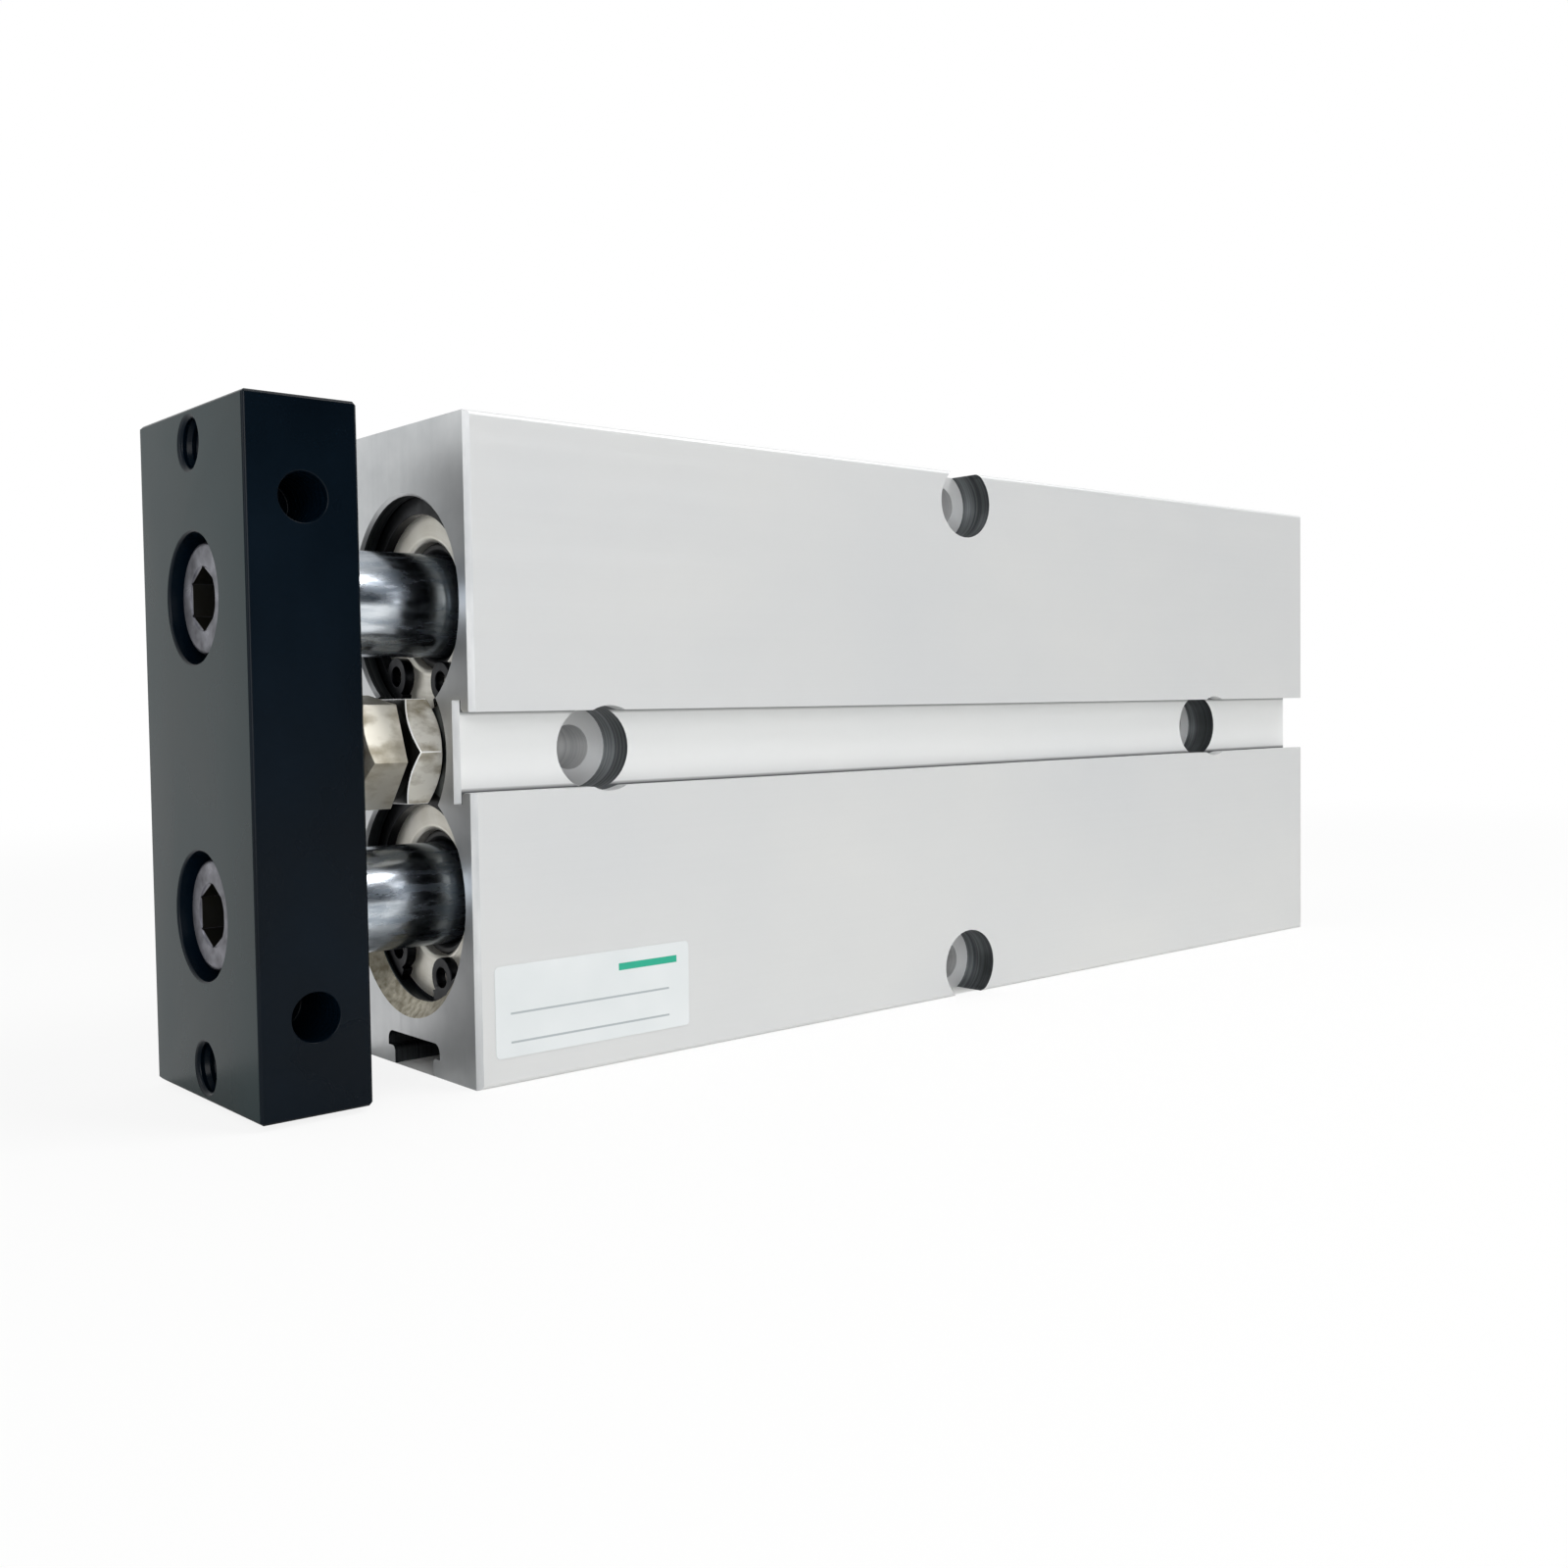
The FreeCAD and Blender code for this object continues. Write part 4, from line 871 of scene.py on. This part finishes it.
# %% [markdown]
# ## The rods
#
# Each rod is one long turned bar: a chamfered front end with a tapped hole in it, a shoulder at
# the piston and a thinner spigot behind it. The bar is a turned piece, and the lower rod is its
# twin.

# %% The piston rods
ROD_CHAMFER = 0.5 * MM
FRONT_TAP = 3.02 * MM
FRONT_TAP_DEPTH = 13.7 * MM
REAR_TAP = 2.52 * MM
REAR_TAP_DEPTH = 12.5 * MM
SPIGOT = 3.5 * MM
SPIGOT_SEAT = 2 * MM
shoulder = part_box("piston_upper")[1].x - SPIGOT_SEAT
rod = turn("upper_rod", [
    (rod_high.x - FRONT_TAP_DEPTH, FRONT_TAP), (rod_high.x, FRONT_TAP),
    (rod_high.x, rod_radius - ROD_CHAMFER), (rod_high.x - ROD_CHAMFER, rod_radius),
    (shoulder, rod_radius), (shoulder, SPIGOT), (rod_low.x, SPIGOT),
    (rod_low.x, REAR_TAP), (rod_low.x + REAR_TAP_DEPTH, REAR_TAP),
], upper_axis)
soften(rod, 0.08)
hand_over_pair(rod, "hard_chromed_steel", "carriage", "piston_rod")

# %% [markdown]
# ## The covers and their seals
#
# A front cover closes each bore round its rod. Its outer face is a flat turned ring, with a
# pocket in the middle where the rubber seal wipes the rod. The seal's lip slopes in to the rod,
# which keeps dust out.

# %% The front covers
RUNNING_FIT = 0.02 * MM
FLANGE = 15.4 * MM
NOSE = 8 * MM
RING_GAP = 0.25 * MM
GROOVE_DEPTH = 1.47 * MM
MOUTH = 0.35 * MM


def ring_groove(node_name, first, last):
    """The four stations of an O-ring's groove in a cover, from one end to the other."""
    low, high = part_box(node_name)
    ends = {"front": high.x + RING_GAP, "rear": low.x - RING_GAP}
    floor_radius = cover_radius - GROOVE_DEPTH
    return [(ends[first], cover_radius), (ends[first], floor_radius),
            (ends[last], floor_radius), (ends[last], cover_radius)]


bush_low, bush_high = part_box("rod_bush_upper")
seal_low, seal_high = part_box("rod_seal_upper")
bush_radius = (bush_high.z - bush_low.z) / 2 + RUNNING_FIT
seal_radius = (seal_high.z - seal_low.z) / 2
gland_radius = seal_radius + RUNNING_FIT
flange_end = cover_high.x - FLANGE
cover = turn("upper_cover", [
    (bush_high.x, gland_radius), (cover_high.x - MOUTH, gland_radius),
    (cover_high.x, gland_radius + MOUTH), (cover_high.x, cover_radius),
    *ring_groove("front_o_ring_upper", "front", "rear"),
    (flange_end, cover_radius), (flange_end, NOSE),
    (cover_low.x, NOSE), (cover_low.x, bush_radius), (bush_high.x, bush_radius),
], upper_axis, ring=True)
soften(cover, 0.1)
hand_over_pair(cover, "turned_aluminium", "barrel", "front_cover")

# %% The rod seals
LIP_LENGTH = 1.4 * MM
LIP_EDGE = 0.5 * MM
RIM_EDGE = 0.25 * MM
wipe = rod_radius + 0.04 * MM
seal = turn("upper_rod_seal", [
    (seal_low.x, wipe), (seal_high.x - LIP_LENGTH, wipe),
    (seal_high.x - LIP_EDGE, wipe + 0.1 * MM), (seal_high.x, wipe + LIP_EDGE),
    (seal_high.x, seal_radius - RIM_EDGE), (seal_high.x - RIM_EDGE, seal_radius),
    (seal_low.x, seal_radius),
], upper_axis, ring=True)
soften(seal, 0.05)
hand_over_pair(seal, "nitrile_rubber", "barrel", "rod_seal")

# %% [markdown]
# The rear covers are blind. Each is a plain disc in its bore with a thin nose, and the turning
# tool leaves a small centre mark in its face.

# %% The rear covers
CENTRE_MARK = 0.6 * MM
REAR_FLANGE = 7.4 * MM
rear_low, rear_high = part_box("rear_cover_upper")
flange_end = rear_low.x + REAR_FLANGE
rear_cover = turn("upper_rear_cover", [
    (rear_low.x + CENTRE_MARK, 0.05 * MM), (rear_low.x, CENTRE_MARK),
    (rear_low.x, cover_radius), *ring_groove("rear_o_ring_upper", "rear", "front"),
    (flange_end, cover_radius), (flange_end, NOSE), (rear_high.x, NOSE),
], upper_axis)
soften(rear_cover, 0.1)
hand_over_pair(rear_cover, "turned_aluminium", "barrel", "rear_cover")

# %% [markdown]
# ## The retaining rings
#
# A stamped spring ring with two eared ends holds each cover. The ears sit at slightly different
# angles in each bore, as they happen to after fitting, and the CAD nodes have that. Their
# outlines are right, so merged copies with rounded edges are enough, because stamping leaves
# one rounded edge all round.

# %% The retaining rings
for place in ("front", "rear"):
    for row in ("upper", "lower"):
        node_name = f"{place}_circlip_{row}"
        retaining_ring = merged_copy(node_name, f"{row}_{place}_retaining_ring")
        soften(retaining_ring, 0.1)
        hand_over(retaining_ring, "black_oxide_steel", "barrel", node_name)

# %% [markdown]
# ## The stop screw and its nut
#
# Between the rods a hexagon-headed screw limits how far the plate comes back, and a thin nut
# locks it. The corners of such a hexagon are turned off at 30 degrees, which leaves an arc on
# each flat. That is how it is made here as well: a six-sided bar, kept only where it lies inside
# a turned shape.

# %% A hexagon bar with its corners turned off
TURNED_OFF = math.radians(30)


def hexagon(name, start, end, flats, both_ends, turned_by=0):
    """A hexagon prism along X on the middle line, turned by some degrees and bevelled."""
    corner = flats / math.sqrt(3)
    bpy.ops.object.select_all(action="DESELECT")
    bpy.ops.mesh.primitive_cylinder_add(
        vertices=6, radius=corner, depth=end - start,
        location=((start + end) / 2, 0, 0), rotation=(0, math.pi / 2, 0))
    bar = bpy.context.object
    bar.name = name
    settle(bar)
    bar.rotation_euler.x = math.radians(turned_by)
    bar.location.z = middle
    settle(bar)
    face = flats / 2 * 0.97
    outer = corner * 1.2
    rise = (outer - face) * math.tan(TURNED_OFF)
    first = [(start, face), (start + rise, outer)] if both_ends else [(start - CLEAR, outer)]
    stations = first + [(end - rise, outer), (end, face)]
    cut(bar, turn("corner_shape", stations, middle), "INTERSECT")
    return bar


nut_low, nut_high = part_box("jam_nut")
flats = nut_high.z - nut_low.z
print("hexagons", round(flats / MM, 1), "mm across flats")

# %% The stop screw
HEAD_THICKNESS = 3.8 * MM
HEAD_TURN = -9
STOP_MAJOR = 2.99 * MM
STOP_MINOR = 2.5 * MM
STOP_PITCH = 1 * MM
stop_low, stop_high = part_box("stop_screw")
head_seat = stop_high.x - HEAD_THICKNESS
head = hexagon("stop_screw_head", head_seat, stop_high.x, flats, False, HEAD_TURN)
turns = thread(head_seat, stop_low.x, STOP_PITCH, STOP_MINOR, STOP_MAJOR)
cut(head, turn("stop_screw_shank", [(head_seat + CLEAR, STOP_MINOR), *turns], middle), "UNION")
head.name = "hexagon_stop_screw"
tidy_mesh(head)
soften(head, 0.05, sharper_than=25)
hand_over(head, "nickel_plated_steel", "stop_screw", "stop_screw")
# The faces behind the head's seat are painted near black: a painted shade in the gap to the nut.
head.data.materials.append(steel_painted_shade)
for face in head.data.polygons:
    face.material_index = int(face.center.x < head_seat + EDGE)

# %% [markdown]
# Three finishes meet on the nut. Its flats take the lighter nickel, a painted light, and the
# turned-off face towards the head is painted near black, a painted shade. The narrow faces of the
# bevel between them are painted near white, a painted highlight, and they are found by where they
# point: the middle of each flat points 30 degrees off a corner.

# %% The jam nut
THREAD_MOUTH = 0.4 * MM
hole = STOP_MAJOR + 0.04 * MM
nut = hexagon("thin_jam_nut", nut_low.x, nut_high.x, flats, True)
cut(nut, turn("nut_cutter", [
    (nut_low.x - CLEAR, hole + CLEAR), (nut_low.x + THREAD_MOUTH, hole),
    (nut_high.x - THREAD_MOUTH, hole), (nut_high.x + CLEAR, hole + CLEAR + THREAD_MOUTH),
], middle))
tidy_mesh(nut)
soften(nut, 0.15, sharper_than=25)
hand_over(nut, "nickel_plated_steel", "jam_nut", "jam_nut")
# The flats take the lighter nickel, a painted light, the face towards the head a painted shade,
# and the bevel edges a painted highlight.
nut.data.materials[0] = nickel_painted_light
nut.data.materials.append(steel_painted_shade)
nut.data.materials.append(nickel_painted_highlight)
for face in nut.data.polygons:
    forward = face.normal.x
    off_corner = math.degrees(math.atan2(face.normal.z, face.normal.y)) % 60
    on_edge = 0.1 < forward < 0.8 or (abs(forward) < 0.1 and abs(off_corner - 30) > 10)
    outside = math.hypot(face.center.y, face.center.z - middle) > hole + 1 * MM
    face.material_index = 2 if on_edge and outside else int(forward > 0.8)

# %% [markdown]
# ## The rod screws
#
# A socket head screw in each counterbore clamps the plate to a rod. The head is turned, with a
# chamfered rim, and the socket is a six-sided hole with a small countersink at its mouth.

# %% The socket head screws
CAP_THREAD = 2.99 * MM
CAP_RIM = 0.5 * MM
SOCKET_CORNER = 5 * MM / math.sqrt(3)
SOCKET_DEPTH = 3 * MM
COUNTERSINK = 0.12 * MM
cap = turn("upper_rod_screw", [
    (cap_low.x, CAP_THREAD), (cap_seat, CAP_THREAD), (cap_seat, cap_radius),
    (cap_high.x - 0.9 * CAP_RIM, cap_radius),
    (cap_high.x - 0.24 * CAP_RIM, cap_radius - 0.36 * CAP_RIM),
    (cap_high.x, cap_radius - CAP_RIM),
], upper_axis)
bpy.ops.object.select_all(action="DESELECT")
bpy.ops.mesh.primitive_cylinder_add(
    vertices=6, radius=SOCKET_CORNER, depth=2 * SOCKET_DEPTH,
    location=(cap_high.x, 0, upper_axis), rotation=(math.pi / 2, 0, math.pi / 2))
socket = bpy.context.object
settle(socket)
cut(cap, socket)
cut(cap, turn("countersink", [
    (cap_high.x + CLEAR, SOCKET_CORNER + CLEAR),
    (cap_high.x - COUNTERSINK, SOCKET_CORNER - COUNTERSINK),
], upper_axis))
tidy_mesh(cap)
soften(cap, 0.06)
hand_over_pair(cap, "black_oxide_steel", "carriage", "plate_screw")

# %% [markdown]
# The sockets of both screws are painted near black, a painted shade, and the rest of each head
# takes the lighter oxide, a painted sheen.

# %% The finishes of the socket head screws
for row, axis_z in (("upper", upper_axis), ("lower", lower_axis)):
    mesh = bpy.data.objects[f"{row}_rod_screw"].data
    # The heads take the lighter oxide, a painted sheen, and the sockets a painted shade.
    mesh.materials[0] = oxide_painted_sheen
    mesh.materials.append(steel_painted_shade)
    for face in mesh.polygons:
        off_axis = math.hypot(face.center.y, face.center.z - axis_z)
        depth = cap_high.x - face.center.x
        in_socket = COUNTERSINK < depth < SOCKET_DEPTH + EDGE
        face.material_index = int(in_socket and off_axis < 0.97 * SOCKET_CORNER)
    print(row, "socket:", sum(face.material_index for face in mesh.polygons), "dusty faces")

# %% [markdown]
# ## The plate bumper
#
# A urethane button on the back of the plate meets the stop screw softly. It is moulded, so its
# edge is well rounded.

# %% The plate bumper
PAD_ROUND = 0.6 * MM
PAD_STEM = 3 * MM
pad_radius = (pad_high.z - pad_low.z) / 2
pad = turn("plate_button", [
    (pad_low.x, pad_radius - PAD_ROUND),
    (pad_low.x + 0.3 * PAD_ROUND, pad_radius - 0.3 * PAD_ROUND),
    (pad_low.x + PAD_ROUND, pad_radius), (plate_low.x, pad_radius),
    (plate_low.x, PAD_STEM), (pad_high.x, PAD_STEM),
], middle)
soften(pad, 0.1)
hand_over(pad, "urethane", "carriage", "plate_bumper")

# %% [markdown]
# ## The sticker
#
# A white vinyl sticker sits at the lower front corner of the wide face. It carries nothing but a
# form: a short green bar and two thin grey rules. It starts as a plane, its corners are
# rounded, and it is extruded to the thickness of vinyl.

# %% The sticker's finish
STICKER_X = (36.0 * MM, 58.2 * MM)
STICKER_Z = (2.6 * MM, 11.2 * MM)
RULE_X = (38.5 * MM, 56.6 * MM)
PRINT = (
    ((37.5 * MM, 44.5 * MM), (9.2 * MM, 9.9 * MM), "1FA184"),
    (RULE_X, (3.9 * MM, 4.1 * MM), "A4ABAE"),
    (RULE_X, (6.6 * MM, 6.8 * MM), "A4ABAE"),
)

vinyl, tree, shader = new_finish("printed_vinyl", IOR=1.5)
axes = object_axes(tree)
ink = tones(tree, stretched_noise(tree, (6, 6, 6)), "D2D6D7", "D8DBDC")
for x_range, z_range, colour in PRINT:
    printed = 1
    for value, (low, high) in ((axes["X"], x_range), (axes["Z"], z_range)):
        for limit, operation in ((low, "GREATER_THAN"), (high, "LESS_THAN")):
            test = node(tree, "ShaderNodeMath", {0: value, 1: limit}, operation=operation)
            printed = node(tree, "ShaderNodeMath", {
                0: printed, 1: test.outputs[0]}, operation="MULTIPLY").outputs[0]
    ink = node(tree, "ShaderNodeMix", {
        0: printed, 6: ink, 7: linear(colour)}, data_type="RGBA").outputs[2]
sheen = stretched_noise(tree, (1.2, 1.2, 1.2))
dress(tree, shader, ink, sheen, 0.34, 0.46, sheen, 0.003)
print(vinyl.name, len(tree.nodes), "nodes")

# %% The sticker
STICKER_THICKNESS = 0.08 * MM
STICKER_CORNER = 0.5 * MM
width = STICKER_X[1] - STICKER_X[0]
height = STICKER_Z[1] - STICKER_Z[0]
bpy.ops.object.select_all(action="DESELECT")
bpy.ops.mesh.primitive_plane_add(
    size=1, location=(sum(STICKER_X) / 2, body_high.y, sum(STICKER_Z) / 2),
    rotation=(-math.pi / 2, 0, 0))
sticker = bpy.context.object
sticker.name = "sticker"
sticker.scale = (width, height, 1)
settle(sticker)
bpy.ops.object.mode_set(mode="EDIT")
bpy.ops.mesh.select_all(action="SELECT")
bpy.ops.mesh.bevel(offset=STICKER_CORNER, segments=6, affect="VERTICES")
bpy.ops.mesh.select_all(action="SELECT")
bpy.ops.mesh.extrude_region_move(
    TRANSFORM_OT_translate={"value": (0, STICKER_THICKNESS, 0)})
bpy.ops.object.mode_set(mode="OBJECT")
tidy_mesh(sticker)
soften(sticker, 0.02, steps=1)
sticker.data.materials.append(vinyl)
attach(sticker, "barrel")
print("sticker", round(width / MM, 1), "by", round(height / MM, 1), "mm")

# %% [markdown]
# ## Closing
#
# The view transform is set to Standard, so that a colour renders as it was written.

# %% Set the view transform
bpy.context.scene.view_settings.view_transform = "Standard"
